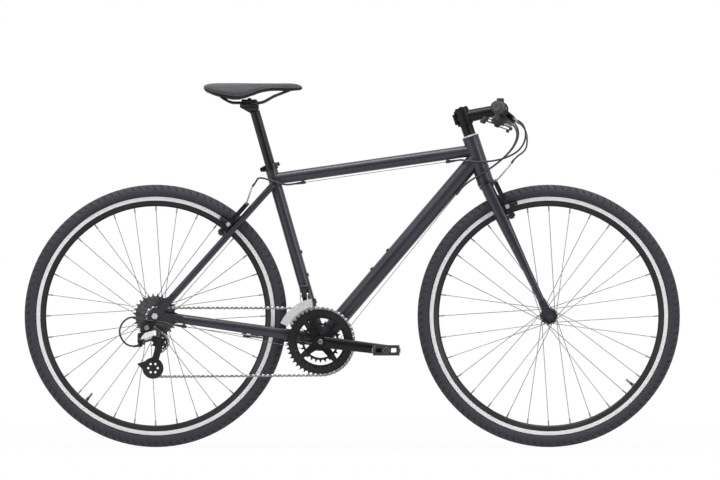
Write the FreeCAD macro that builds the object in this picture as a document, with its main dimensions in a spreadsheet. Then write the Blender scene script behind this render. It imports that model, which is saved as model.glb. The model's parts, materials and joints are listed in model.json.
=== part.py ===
import FreeCAD, Part
import math
import os
from types import SimpleNamespace

import Sketcher

# Hybrid bike: flat bar, rigid fork, linear-pull brakes and a triple crank.
# Millimetres, X forward, Y to the rider's left, Z up, origin on the floor midway between the axles.
# The drive side is at negative Y.

V = FreeCAD.Vector
doc = FreeCAD.newDocument("HybridBike")
sheet = doc.addObject("Spreadsheet::Sheet", "Sizes")

SIZES = {
    # Wheels
    "wheelbase": 1045,
    "tyre_radius": 349,
    "tyre_width": 37,
    "tyre_wall": 2.5,
    "rim_radius": 317,
    "rim_width": 24,
    "rim_depth": 25.5,
    "brake_track": 12,
    "rim_wall": 2.4,
    "bead_gap": 0.3,
    "spoke_count": 32,
    "spoke_dia": 2,
    "nipple_dia": 4,
    "nipple_length": 13,
    "spoke_cross": 3,
    "hub_flange_dia": 45,
    "hub_flange_thick": 3.4,
    "hub_barrel_dia": 28,
    "front_flange_gap": 70,
    "rear_flange_left": 34,
    "rear_flange_right": 19,
    "axle_dia": 10,
    "front_over_nuts": 100,
    "rear_over_nuts": 135,
    "dropout_thick": 6,
    # Frame
    "bb_drop": 67.5,
    "chainstay": 443.6,
    "seat_angle": 74,
    "head_angle": 71.5,
    "fork_offset": 46.5,
    "crown_height": 385.6,
    "seat_tube_dia": 31.8,
    "seat_tube_length": 488,
    "seatpost_dia": 27.2,
    "slide_gap": 0.05,
    "top_tube_dia": 31,
    "top_tube_on_seat": 449,
    "top_tube_on_head": 95,
    "down_tube_dia": 43,
    "down_tube_on_head": 75,
    "head_tube_dia": 44,
    "head_tube_start": 8,
    "head_tube_length": 121,
    "tube_wall": 1.8,
    "bb_shell_dia": 40,
    "bb_shell_width": 68,
    "bb_thread_dia": 34.8,
    "bb_bore_dia": 17,
    "head_bore_dia": 34,
    "weld_gap": 0.03,
    "seatstay_dia": 17,
    "seatstay_on_seat": 436,
    "seatstay_top_side": 22,
    "stay_end_side": 64,
    "stay_end_reach": 46,
    "chainstay_tall": 30,
    "chainstay_end_tall": 22,
    "chainstay_wide": 16,
    "chainstay_front_side": 24,
    "chainstay_rise": 9,
    "hanger_back": 20.5,
    "hanger_down": 30,
    "brake_stud_reach": 285,
    "brake_stud_dia": 8,
    "boss_dia": 10,
    "boss_thread_dia": 5,
    "collar_height": 16,
    # Steering
    "steerer_dia": 28.6,
    "spacer_dia": 33,
    "spacer_stack": 28,
    "stem_height": 45,
    "stem_length": 100,
    "stem_rise": 11.5,
    "bar_clamp_dia": 31.8,
    "bar_end_dia": 22.2,
    "bar_width": 610,
    "bar_sweep": 5,
    "bar_wall": 2.2,
    "bar_taper_start": 42,
    "bar_taper_end": 90,
    "grip_dia": 33,
    "grip_length": 125,
    "blade_top_side": 36,
    "blade_end_side": 53,
    "blade_top_long": 32,
    "blade_top_wide": 20,
    "blade_end_long": 16,
    "blade_end_wide": 14,
    "blade_end_reach": 44,
    # Drive
    "chain_pitch": 12.7,
    "roller_dia": 7.75,
    "big_ring": 44,
    "middle_ring": 36,
    "small_ring": 26,
    "small_cog": 11,
    "pulley_teeth": 11,
    "ring_line": 55,
    "ring_spacing": 7.5,
    "cog_line": 62,
    "cog_spacing": 4.8,
    "tooth_thick": 1.9,
    "plate_thick": 1,
    "chain_inner_width": 2.4,
    "chain_plate_tall": 8,
    "guide_ahead": 13.5,
    "guide_down": 69,
    "cage_length": 71.2,
    "cage_lean": 17,
    "cage_pivot_back": 8,
    "cage_pivot_up": 8,
    "derailleur_drop": 17.6,
    "derailleur_ahead": 3.5,
    "derailleur_link": 40,
    "derailleur_link_wide": 16,
    "link_spacing": 14,
    "pivot_dia": 4,
    "cage_room": 4.6,
    "cage_plate": 1.8,
    "fd_on_seat": 107,
    "fd_link": 22,
    "fd_travel": 15,
    "crank_length": 175,
    "spindle_half": 62,
    "crank_side": 66,
    "pedal_eye_side": 79,
    "bolt_circle_dia": 104,
    "small_bolt_circle_dia": 64,
    "pedal_axle_dia": 9,
    "crank_drop": 7,
    "pedal_length": 70,
    "pedal_width": 92,
    "pedal_thick": 26,
    # Brakes and controls
    "arm_length": 98,
    "arm_thick": 10.7,
    "stud_seat": 4,
    "pad_gap": 1.6,
    "pad_length": 52,
    "lever_angle": 40,
    "lever_pivot": 36,
    "bracket_in": 14,
    "shifter_in": 42,
    # Seat
    "seatpost_head": 640,
    "saddle_length": 273,
    "saddle_width": 150,
    "saddle_height": 967,
    "rail_dia": 7,
    # Cables
    "housing_dia": 5,
    "wire_dia": 1.6,
    # Room between pieces that move past each other
    "run_gap": 0.3,
}
for row, (alias, number) in enumerate(SIZES.items(), start=1):
    sheet.set("A%d" % row, alias)
    sheet.set("B%d" % row, str(number))
    sheet.setAlias("B%d" % row, alias)
doc.recompute()


class Dim:
    """A length kept both as a number and as the sheet expression that gives it."""

    def __init__(self, value, text):
        self.value = value
        self.text = text

    def __float__(self):
        return self.value

    def __add__(self, other):
        return Dim(self.value + float(other), "(%s + %s)" % (self.text, words(other)))

    def __sub__(self, other):
        return Dim(self.value - float(other), "(%s - %s)" % (self.text, words(other)))

    def __mul__(self, other):
        return Dim(self.value * float(other), "%s * %s" % (self.text, words(other)))

    def __truediv__(self, other):
        return Dim(self.value / float(other), "%s / %s" % (self.text, words(other)))

    def __neg__(self):
        return Dim(-self.value, "(0 - %s)" % self.text)

    __radd__ = __add__
    __rmul__ = __mul__


def words(number):
    """The expression text of a Dim or of a plain number."""
    if isinstance(number, Dim):
        return number.text
    return "%.9g" % number


def root(dim):
    """The square root of a Dim."""
    return Dim(math.sqrt(dim.value), "sqrt(%s)" % dim.text)


d = SimpleNamespace(**{alias: Dim(float(sheet.get(alias)), "Sizes." + alias) for alias in SIZES})
s = SimpleNamespace(**{alias: float(sheet.get(alias)) for alias in SIZES})
nodes = []


# Helpers that make document objects

def bind(thing, prop, value):
    """Sets a property, tied to the sheet where the value comes from it."""
    setattr(thing, prop, float(value))
    if isinstance(value, Dim):
        thing.setExpression(prop, value.text)


def node(thing, label):
    """Marks an object as a finished sub-part and names it."""
    thing.Label = label
    nodes.append(thing)
    return thing


def part_feature(label, shape):
    """A finished sub-part whose form is worked out with solid operations."""
    thing = doc.addObject("Part::Feature", label)
    thing.Shape = shape
    return node(thing, label)


def along(start, direction):
    """A placement that turns +Z onto a direction and moves the origin to a start point."""
    return FreeCAD.Placement(start, FreeCAD.Rotation(V(0, 0, 1), direction))


def cylinder(name, start, direction, radius, height):
    """A cylinder object from a start point along a direction."""
    thing = doc.addObject("Part::Cylinder", name)
    bind(thing, "Radius", radius)
    bind(thing, "Height", height)
    thing.Placement = along(start, direction)
    return thing


def cut(name, base, *tools):
    """The base object with each tool object taken away in turn."""
    for index, tool in enumerate(tools):
        thing = doc.addObject("Part::Cut", "%s_cut%d" % (name, index))
        thing.Base = base
        thing.Tool = tool
        base = thing
    return base


def compound(name, things):
    """Several objects kept as one sub-part of separate solids."""
    thing = doc.addObject("Part::Compound", name)
    thing.Links = things
    return thing


def lathe(name, profile, placement):
    """A turned body: a closed profile of (radius, height) corners, revolved about its height axis.

    A corner with a third item is reached by an arc, the third item being the arc's middle radius,
    middle height and own radius.
    """
    body = doc.addObject("PartDesign::Body", name)
    plane = [item for item in body.Origin.OriginFeatures if item.Role == "XY_Plane"][0]
    sketch = body.newObject("Sketcher::SketchObject", name + "_profile")
    sketch.AttachmentSupport = (plane, [""])
    sketch.MapMode = "FlatFace"
    corners = [V(float(corner[0]), float(corner[1]), 0) for corner in profile]
    ends = []
    for index, corner in enumerate(profile):
        start = corners[index - 1]
        if len(corner) == 3:
            middle = V(float(corner[2][0]), float(corner[2][1]), 0)
            edge = sketch.addGeometry(Part.Arc(start, middle, corners[index]), False)
            sketch.addConstraint(Sketcher.Constraint("Radius", edge, float(corner[2][2])))
            if isinstance(corner[2][2], Dim):
                sketch.setExpression("Constraints[%d]" % (sketch.ConstraintCount - 1), corner[2][2].text)
        else:
            edge = sketch.addGeometry(Part.LineSegment(start, corners[index]), False)
        first_is_start = sketch.getPoint(edge, 1).distanceToPoint(start) < 1e-6
        ends.append((edge, 1 if first_is_start else 2, 2 if first_is_start else 1))
    for index, corner in enumerate(profile):
        edge, _, finish = ends[index]
        following, begin, _ = ends[(index + 1) % len(profile)]
        sketch.addConstraint(Sketcher.Constraint("Coincident", edge, finish, following, begin))
        for kind, axis, value in (("DistanceX", -2, corner[0]), ("DistanceY", -1, corner[1])):
            if abs(float(value)) < 1e-9:
                sketch.addConstraint(Sketcher.Constraint("PointOnObject", edge, finish, axis))
                continue
            sketch.addConstraint(Sketcher.Constraint(kind, -1, 1, edge, finish, float(value)))
            if isinstance(value, Dim):
                sketch.setExpression("Constraints[%d]" % (sketch.ConstraintCount - 1), value.text)
    turn = body.newObject("PartDesign::Revolution", name + "_turned")
    turn.Profile = sketch
    turn.ReferenceAxis = (sketch, ["V_Axis"])
    turn.Angle = 360
    body.Placement = placement
    return body


def turned_at(centre, direction=V(0, 1, 0)):
    """A placement for a turned body whose axis runs along a direction through a centre."""
    return FreeCAD.Placement(centre, FreeCAD.Rotation(V(0, 1, 0), direction))


# Helpers that make plain shapes

def polar(centre, radius, angle):
    """A point about a centre, its angle turning from forward to up."""
    return V(centre.x + radius * math.cos(angle), centre.y, centre.z + radius * math.sin(angle))


def rod(start, end, radius):
    """A solid cylinder between two points."""
    return Part.makeCylinder(radius, start.distanceToPoint(end), start, end - start)


def taper(start, end, radius_start, radius_end):
    """A solid cone frustum between two points."""
    if abs(radius_start - radius_end) < 1e-6:
        return rod(start, end, radius_start)
    return Part.makeCone(radius_start, radius_end, start.distanceToPoint(end), start, end - start)


def box_between(low, high):
    """A box between two opposite corners."""
    return Part.makeBox(high.x - low.x, high.y - low.y, high.z - low.z, low)


def slab(points, thickness):
    """A flat outline, closed, pushed along a thickness vector."""
    return Part.Face(Part.makePolygon(points + points[:1])).extrude(thickness)


def rounded(shape, radius, keep=None):
    """A shape with its edges rounded, or those that a test picks out."""
    edges = [edge for edge in shape.Edges if keep is None or keep(edge)]
    return shape.makeFillet(radius, edges)


def link_plate(start, end, radius_start, radius_end, thickness):
    """A flat link with round ends about two points, pushed along a thickness vector."""
    line = end - start
    normal = V(thickness)
    normal.normalize()
    forward = V(line)
    forward.normalize()
    side = normal.cross(forward)
    lean = math.asin((radius_start - radius_end) / line.Length)
    up = side * math.cos(lean) + forward * math.sin(lean)
    down = side * -math.cos(lean) + forward * math.sin(lean)
    corners = [start + up * radius_start, end + up * radius_end, end + down * radius_end,
               start + down * radius_start]
    edges = [
        Part.LineSegment(corners[0], corners[1]).toShape(),
        Part.Arc(corners[1], end + forward * radius_end, corners[2]).toShape(),
        Part.LineSegment(corners[2], corners[3]).toShape(),
        Part.Arc(corners[3], start - forward * radius_start, corners[0]).toShape(),
    ]
    return Part.Face(Part.Wire(edges)).extrude(thickness)


def cord(points, radius, limit=None):
    """A round cord along straight runs joined by tangent arcs, each as large as fits or a set limit."""
    edges = []
    last = points[0]
    for before, corner, after in zip(points, points[1:], points[2:]):
        back = before - corner
        ahead = after - corner
        turn = math.pi - back.getAngle(ahead)
        room = 0.45 * min(back.Length, ahead.Length)
        bend = room / math.tan(turn / 2)
        if limit is not None:
            bend = min(bend, limit)
        reach = bend * math.tan(turn / 2)
        back.normalize()
        ahead.normalize()
        inward = back + ahead
        inward.normalize()
        start = corner + back * reach
        finish = corner + ahead * reach
        middle = corner + inward * (bend / math.cos(turn / 2) - bend)
        edges.append(Part.LineSegment(last, start).toShape())
        edges.append(Part.Arc(start, middle, finish).toShape())
        last = finish
    edges.append(Part.LineSegment(last, points[-1]).toShape())
    ring = Part.Wire(Part.Circle(points[0], points[1] - points[0], radius).toShape())
    tube = Part.Wire(edges).makePipeShell([ring], True, False)
    length = sum(edge.Length for edge in edges)
    expected = math.pi * radius ** 2 * length
    if abs(tube.Volume - expected) > 0.02 * expected:
        raise ValueError("a cord's volume %.1f differs from %.1f" % (tube.Volume, expected))
    return tube


def mirrored(shape):
    """A copy of a shape on the other side of the bike's middle plane."""
    return shape.mirror(V(0, 0, 0), V(0, 1, 0))


def around(shape, count, centre, axis):
    """Copies of a shape spaced evenly about an axis."""
    copies = []
    for index in range(int(count)):
        copy = shape.copy()
        copy.rotate(centre, axis, index * 360 / count)
        copies.append(copy)
    return copies


# Main points and directions

LEFT = V(0, 1, 0)
RIGHT = V(0, -1, 0)
UP = V(0, 0, 1)
AHEAD = V(1, 0, 0)


def leaning(angle):
    """The upward direction of a tube that leans back from the horizontal by an angle."""
    return V(-math.cos(math.radians(angle)), 0, math.sin(math.radians(angle)))


rear_axle = V(-s.wheelbase / 2, 0, s.tyre_radius)
front_axle = V(s.wheelbase / 2, 0, s.tyre_radius)
bb = rear_axle + V(math.sqrt(s.chainstay ** 2 - s.bb_drop ** 2), 0, -s.bb_drop)
seat_up = leaning(s.seat_angle)
seat_ahead = V(seat_up.z, 0, -seat_up.x)
head_up = leaning(s.head_angle)
head_ahead = V(head_up.z, 0, -head_up.x)
crown = front_axle - head_ahead * s.fork_offset + head_up * s.crown_height


def on_seat(distance, offset=0.0, side=0.0):
    """A point at a distance up the seat tube from the bottom bracket, ahead of it and to the left."""
    return bb + seat_up * distance + seat_ahead * offset + LEFT * side


def on_head(distance, offset=0.0, side=0.0):
    """A point at a distance up the steering axis from the fork crown, ahead of it and to the left."""
    return crown + head_up * distance + head_ahead * offset + LEFT * side


# Frame tubes

def frame_tube(name, start, end, outer, neighbours):
    """A hollow tube between two points, shaped at its ends to the neighbours it is welded to."""
    line = end - start
    skin = cylinder(name + "_outer", start, line, outer, line.Length)
    bore = cylinder(name + "_bore", start, line, outer - d.tube_wall, line.Length)
    node(cut(name, skin, bore, *neighbours), name)
    return skin


head_low = on_head(s.head_tube_start)
head_skin = cylinder("head_tube_outer", head_low, head_up, d.head_tube_dia / 2, d.head_tube_length)
head_bore = cylinder("head_tube_bore", head_low, head_up, d.head_bore_dia / 2, d.head_tube_length)
node(cut("head_tube", head_skin, head_bore), "head_tube")

seat_top = on_seat(s.seat_tube_length)
bb_left = bb + LEFT * (s.bb_shell_width / 2)
bb_right = bb + RIGHT * (s.bb_shell_width / 2)
bb_edge = d.bb_shell_dia / 2
bb_half = d.bb_shell_width / 2
bb_thread = d.bb_thread_dia / 2
bb_shell_profile = [(bb_thread, -bb_half), (bb_edge, -bb_half), (bb_edge, bb_half), (bb_thread, bb_half)]
node(lathe("bb_shell", bb_shell_profile, turned_at(bb)), "bb_shell")

bb_tool = cylinder("bb_tool", bb_right, LEFT, bb_edge + d.weld_gap, d.bb_shell_width)
head_tool = cylinder("head_tool", head_low, head_up, d.head_tube_dia / 2 + d.weld_gap, d.head_tube_length)
seat_tool = cylinder("seat_tool", bb, seat_up, d.seat_tube_dia / 2 + d.weld_gap, d.seat_tube_length)

seat_skin = cylinder("seat_tube_outer", bb, seat_up, d.seat_tube_dia / 2, d.seat_tube_length)
seat_bore = cylinder("seat_tube_bore", bb, seat_up, d.seatpost_dia / 2 + d.slide_gap, d.seat_tube_length)
node(cut("seat_tube", seat_skin, seat_bore, bb_tool), "seat_tube")

down_end = on_head(s.down_tube_on_head)
down_way = (down_end - bb).normalize()
down_under = V(down_way.z, 0, -down_way.x)
down_tool = cylinder("down_tool", bb, down_way, d.down_tube_dia / 2 + d.weld_gap,
                     down_end.distanceToPoint(bb))
frame_tube("down_tube", bb, down_end, d.down_tube_dia / 2, [bb_tool, seat_tool, head_tool])

top_start = on_seat(s.top_tube_on_seat)
top_end = on_head(s.top_tube_on_head)
top_way = (top_end - top_start).normalize()
top_under = V(top_way.z, 0, -top_way.x)
frame_tube("top_tube", top_start, top_end, d.top_tube_dia / 2, [seat_tool, head_tool, down_tool])


# Rear stays with their bridges and dropouts

def oval(centre, direction, tall, wide, long_way=UP):
    """An oval outline square to a direction, its long side nearest to a given way."""
    ring = Part.Wire(Part.Ellipse(V(0, 0, 0), tall / 2, wide / 2).toShape())
    ring.Placement = FreeCAD.Placement(centre, FreeCAD.Rotation(long_way, LEFT, direction, "ZXY"))
    return ring


def rear_stays():
    """Both chainstays and seatstays, two bridges and the dropouts, each a solid that meets its neighbours."""
    plate_in = s.rear_over_nuts / 2
    shell = rod(bb_right, bb_left, s.bb_shell_dia / 2 + s.weld_gap)
    seat = rod(bb, seat_top, s.seat_tube_dia / 2 + s.weld_gap)
    low_front = bb + V(-s.bb_shell_dia / 2, -s.chainstay_front_side, s.chainstay_rise)
    low_end = rear_axle + V(s.stay_end_reach, -s.stay_end_side, -s.stay_end_reach * 0.1)
    low_way = (low_end - low_front).normalize()
    start = low_front - low_way * 14
    low = Part.makeLoft([
        oval(start, low_way, s.chainstay_tall, s.chainstay_wide),
        oval(low_end, low_way, s.chainstay_end_tall, s.chainstay_wide),
    ], True)
    low_bore = Part.makeLoft([
        oval(start, low_way, s.chainstay_tall - 2 * s.tube_wall, s.chainstay_wide - 2 * s.tube_wall),
        oval(low_end, low_way, s.chainstay_end_tall - 2 * s.tube_wall, s.chainstay_wide - 2 * s.tube_wall),
    ], True)
    high_top = on_seat(s.seatstay_on_seat, -s.seat_tube_dia / 6, -s.seatstay_top_side)
    to_top = (high_top - rear_axle - RIGHT * s.stay_end_side).normalize()
    high_end = rear_axle + RIGHT * s.stay_end_side + to_top * s.stay_end_reach
    high = rod(high_end, high_top, s.seatstay_dia / 2)
    high_bore = rod(high_end, high_top - to_top * s.tube_wall, s.seatstay_dia / 2 - s.tube_wall)
    eye = s.stay_end_reach * 0.33
    low_tab = V(low_end.x, 0, low_end.z) + V(low_way.x, 0, low_way.z) * -24
    high_tab = V(high_end.x, 0, high_end.z) + V(to_top.x, 0, to_top.z) * 24
    thick = RIGHT * s.dropout_thick
    centre = rear_axle + RIGHT * plate_in
    drop = link_plate(centre, low_tab + RIGHT * plate_in, eye, eye * 0.6, thick)
    drop = drop.fuse(link_plate(centre, high_tab + RIGHT * plate_in, eye, eye * 0.45, thick))
    drop = drop.cut(rod(centre + LEFT, centre + thick * 2, s.axle_dia / 2 + s.weld_gap))
    hang = V(-s.hanger_back, 0, -s.hanger_down)
    hanger = drop.fuse(link_plate(centre, centre + hang, eye, 11, thick))
    hanger = hanger.cut(rod(centre + LEFT, centre + thick * 2, s.axle_dia / 2 + s.weld_gap))
    hanger = hanger.cut(rod(centre + hang + LEFT, centre + hang + thick * 2, s.axle_dia / 2 + s.weld_gap))
    low = low.cut([low_bore, shell, hanger])
    high = high.cut([high_bore, seat, hanger])
    rear_pairs = [low, mirrored(low), high, mirrored(high), hanger.removeSplitter(),
                  mirrored(drop.removeSplitter())]
    far = V(0, s.stay_end_side, 0)
    brake_at = high_end + to_top * (s.tyre_radius + 22 - s.stay_end_reach)
    brake_at = V(brake_at.x, 0, brake_at.z)
    brake_bridge = rod(brake_at - far, brake_at + far, s.seatstay_dia * 0.35)
    stay_at = low_front + low_way * ((low_front.x - rear_axle.x - s.tyre_radius - 22) / -low_way.x)
    stay_at = V(stay_at.x, 0, stay_at.z)
    low_bridge = rod(stay_at - far, stay_at + far, s.seatstay_dia * 0.35)
    inner = rod(high_end, high_top, s.seatstay_dia / 2 + s.weld_gap)
    inner_low = Part.makeLoft([
        oval(start, low_way, s.chainstay_tall, s.chainstay_wide),
        oval(low_end, low_way, s.chainstay_end_tall, s.chainstay_wide),
    ], True)
    for bridge, stay in ((brake_bridge, inner), (low_bridge, inner_low)):
        pieces = bridge.cut([stay, mirrored(stay)]).Solids
        rear_pairs.append(min(pieces, key=lambda piece: abs(piece.CenterOfMass.y)))
    return rear_pairs, to_top, high_end, low_way, low_front, low_end


stay_solids, seatstay_way, seatstay_low, chainstay_way, chainstay_front, chainstay_end = rear_stays()
part_feature("rear_stays", Part.makeCompound(stay_solids))

# Headset cups, pressed into the head tube, and the sealed bottom bracket

steer_bore = d.steerer_dia / 2 + d.slide_gap
cup_edge = d.head_tube_dia / 2 + 0.5
cup_press = d.head_bore_dia / 2 - d.weld_gap
lower_cup = lathe("lower_cup", [
    (steer_bore, d.run_gap), (cup_edge, d.run_gap), (cup_edge, d.head_tube_start),
    (cup_press, d.head_tube_start), (cup_press, d.head_tube_start + 10), (steer_bore, d.head_tube_start + 10),
], turned_at(crown, head_up))
head_stack = d.head_tube_start + d.head_tube_length
upper_cup = lathe("upper_cup", [
    (steer_bore, head_stack - 10), (cup_press, head_stack - 10), (cup_press, head_stack),
    (cup_edge, head_stack), (cup_edge, head_stack + 4), (d.spacer_dia / 2 + 1, head_stack + 8),
    (steer_bore, head_stack + 8),
], turned_at(crown, head_up))
node(compound("headset_cups", [lower_cup, upper_cup]), "headset_cups")

spindle_bore = d.bb_bore_dia / 2 + d.slide_gap
cup_thread = bb_thread - d.weld_gap
bearing_profile = [
    (spindle_bore, -bb_half), (cup_thread, -bb_half), (cup_thread, -(bb_half - 20)),
    (cup_thread - 2, -(bb_half - 20)), (cup_thread - 2, bb_half - 20), (cup_thread, bb_half - 20),
    (cup_thread, bb_half), (spindle_bore, bb_half),
]
node(lathe("bottom_bracket", bearing_profile, turned_at(bb)), "bottom_bracket")


# Seat collar with its skewer, and the lever that closes it

collar_base = s.seat_tube_length - s.collar_height + 2
skewer_back = -(s.seat_tube_dia / 2 + 8)
skewer_at = collar_base + s.collar_height / 2
cam_side = 15.5


def seat_collar():
    """A split clamp ring with two ears behind, the skewer through them, its nut and its eye."""
    low = on_seat(collar_base)
    ring = rod(low, low + seat_up * s.collar_height, s.seat_tube_dia / 2 + 3.5)
    ears = rod(on_seat(skewer_at, skewer_back, -8), on_seat(skewer_at, skewer_back, 8), 5.5)
    neck = box_between(V(-11, -8, -5.5), V(0, 8, 5.5))
    neck.Placement = FreeCAD.Placement(
        on_seat(skewer_at, skewer_back + 11), FreeCAD.Rotation(seat_ahead, LEFT, seat_up, "XYZ"))
    ring = ring.fuse([ears, neck])
    slot = box_between(V(skewer_back - 10, -1, -20), V(0, 1, 20))
    slot.Placement = FreeCAD.Placement(
        on_seat(skewer_at), FreeCAD.Rotation(seat_ahead, LEFT, seat_up, "XYZ"))
    ring = ring.cut([
        slot,
        rod(low - seat_up, on_seat(s.seat_tube_length), s.seat_tube_dia / 2 + s.weld_gap),
        rod(low, on_seat(s.seat_tube_length + 20), s.seatpost_dia / 2 + 0.4),
        rod(on_seat(skewer_at, skewer_back, -30), on_seat(skewer_at, skewer_back, 30), 2.6),
    ])
    skewer = rod(on_seat(skewer_at, skewer_back, -13), on_seat(skewer_at, skewer_back, cam_side), 2.2)
    nut = rod(on_seat(skewer_at, skewer_back, -14), on_seat(skewer_at, skewer_back, -8.1), 5)
    eye = rod(on_seat(skewer_at - 2, skewer_back, cam_side),
              on_seat(skewer_at + 2, skewer_back, cam_side), 3.6)
    pin = rod(on_seat(skewer_at - 6.2, skewer_back, cam_side),
              on_seat(skewer_at + 6.2, skewer_back, cam_side), 2)
    return [ring, skewer.fuse([nut, eye, pin]).removeSplitter()]


part_feature("seat_collar", Part.makeCompound(seat_collar()))


def seat_qr_lever():
    """Two cam cheeks about the skewer's pin and the curved arm that reaches forward beside the tube."""
    cheeks = []
    for low in (2.6, -6.1):
        start = on_seat(skewer_at + low, skewer_back, cam_side)
        cheeks.append(rod(start, start + seat_up * 3.5, 4.7))
    arm_points = [on_seat(skewer_at, skewer_back + 1, cam_side + 5.8),
                  on_seat(skewer_at, 0, s.seat_tube_dia / 2 + 9),
                  on_seat(skewer_at + 2, 16, s.seat_tube_dia / 2 + 5),
                  on_seat(skewer_at + 3, 24, s.seat_tube_dia / 2 - 1)]
    arm = link_plate(arm_points[0] - seat_up * 5.8, arm_points[0] + seat_up * 5.8, 1.6, 1.6, seat_ahead * 3)
    for start, end in zip(arm_points, arm_points[1:]):
        blade = box_between(V(-1, -1.7, -5), V(start.distanceToPoint(end) + 1, 1.7, 5))
        blade.Placement = FreeCAD.Placement(start, FreeCAD.Rotation(end - start, V(), seat_up, "XZY"))
        arm = arm.fuse(blade)
    lever = arm.fuse(cheeks)
    lever = lever.cut([
        rod(on_seat(skewer_at - 9, skewer_back, cam_side), on_seat(skewer_at + 9, skewer_back, cam_side),
            2.05),
        rod(on_seat(skewer_at - 2.6, skewer_back, cam_side),
            on_seat(skewer_at + 2.6, skewer_back, cam_side), 6.5),
    ])
    return lever.removeSplitter()


part_feature("seat_qr_lever", seat_qr_lever())


# Bottle bosses, cable stops and rear brake studs

def boss(foot, outward, skin):
    """A threaded boss that stands on a tube's skin, relieved below its thread."""
    body = rod(foot - outward * 3, foot + outward * 3, s.boss_dia / 2)
    thread = rod(foot - outward * 4, foot + outward * 4, s.boss_thread_dia / 2)
    relief = rod(foot - outward * 4, foot + outward * 0.4, s.boss_thread_dia / 2 + 0.6)
    return body.cut([skin, thread, relief])


def cable_stop(centre, way, toward_tube, skin):
    """A small barrel that holds a housing end, on a foot welded to a tube."""
    barrel = rod(centre - way * 7, centre + way * 7, 4)
    foot = rod(centre, centre + toward_tube * 14, 3)
    stop = barrel.fuse(foot).cut(skin)
    stop = min(stop.Solids, key=lambda piece: piece.CenterOfMass.distanceToPoint(centre))
    return stop.cut([rod(centre - way * 8, centre + way * 8, s.wire_dia / 2 + 0.4)])


down_skin = rod(bb, down_end, s.down_tube_dia / 2 + s.weld_gap)
top_skin = rod(top_start, top_end, s.top_tube_dia / 2 + s.weld_gap)
seat_wall = rod(bb, seat_top, s.seat_tube_dia / 2 + s.weld_gap)
BOTTLE_DOWN = (235, 300)
BOTTLE_SEAT = (180, 243)
brazed = [boss(bb + down_way * reach - down_under * (s.down_tube_dia / 2), down_under * -1, down_skin)
          for reach in BOTTLE_DOWN]
brazed += [boss(on_seat(reach, s.seat_tube_dia / 2), seat_ahead, seat_wall) for reach in BOTTLE_SEAT]

stop_drop = s.top_tube_dia / 2 + 5
brake_stops = [top_start + top_way * reach + top_under * stop_drop for reach in (75, 465)]
brazed += [cable_stop(point, top_way, top_under * -1, top_skin) for point in brake_stops]

gear_reach = 537
gear_stops = []
for side in (1, -1):
    lean = math.radians(35 * side)
    outward = down_under * math.cos(lean) + LEFT * math.sin(lean)
    gear_stops.append(bb + down_way * gear_reach + outward * (s.down_tube_dia / 2 + 4.5))
    brazed.append(cable_stop(gear_stops[-1], down_way, outward * -1, down_skin))

stay_stop_reach = 345
stay_under = V(chainstay_way.z, 0, -chainstay_way.x)
stay_under = stay_under * (-1 if stay_under.z > 0 else 1)
stay_stop = chainstay_front + chainstay_way * stay_stop_reach + stay_under * 18
stay_skin = Part.makeLoft([
    oval(chainstay_front, chainstay_way, s.chainstay_tall, s.chainstay_wide),
    oval(chainstay_end, chainstay_way, s.chainstay_end_tall, s.chainstay_wide),
], True)
brazed.append(cable_stop(stay_stop, chainstay_way, stay_under * -1, stay_skin))

guide_low = bb + V(-2, 0, -(s.bb_shell_dia / 2 + 3))
guide = rod(guide_low + V(-7, 0, 2.5), guide_low + V(11, 0, 2.5), 9).common(
    box_between(guide_low + V(-7, -9, -1), guide_low + V(11, 9, 6)))
brazed.append(guide.cut(rod(bb_right, bb_left, s.bb_shell_dia / 2 + s.weld_gap)))

seatstay_skin = rod(seatstay_low, seatstay_low + seatstay_way * 400, s.seatstay_dia / 2 + s.weld_gap)
stay_behind = seatstay_way.cross(LEFT).normalize()
stay_behind = stay_behind * (-1 if stay_behind.x > 0 else 1)
rear_stud = seatstay_low + seatstay_way * (s.brake_stud_reach - s.stay_end_reach)
rear_seat = s.seatstay_dia / 2 + s.stud_seat


def brake_stud(foot, way, seat_reach):
    """A brake pivot: its seat, the stud and the bolt head that keeps the arm on."""
    stud = rod(foot, foot + way * (seat_reach + s.arm_thick + 3), s.brake_stud_dia / 2)
    seat = rod(foot, foot + way * seat_reach, 7)
    head = rod(foot + way * (seat_reach + s.arm_thick + 2 * s.run_gap),
               foot + way * (seat_reach + s.arm_thick + 4), 6.2)
    return stud.fuse([seat, head])


stud = brake_stud(rear_stud, stay_behind, rear_seat).cut(seatstay_skin)
stud = max(stud.Solids, key=lambda piece: piece.Volume)
brazed += [stud, mirrored(stud)]
part_feature("braze_ons", Part.makeCompound(brazed))


# Fork: steerer, crown, two straight blades with dropouts, and the front brake studs

stack_top = s.head_tube_start + s.head_tube_length + 8 + s.spacer_stack + s.stem_height
blade_top = on_head(-12)
blade_way = (V(blade_top.x, 0, blade_top.z) - front_axle).normalize()
blade_front = V(blade_way.z, 0, -blade_way.x)
front_stud = front_axle + blade_way * s.brake_stud_reach


def blade_side(reach):
    """How far a blade's middle stands from the wheel plane at a reach from the axle."""
    share = (reach - s.blade_end_reach) / (blade_top.distanceToPoint(front_axle) - s.blade_end_reach)
    return s.blade_end_side + (s.blade_top_side - s.blade_end_side) * share


front_pivot = front_stud + LEFT * blade_side(s.brake_stud_reach)
front_seat = s.blade_top_long / 2 + s.stud_seat


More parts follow.
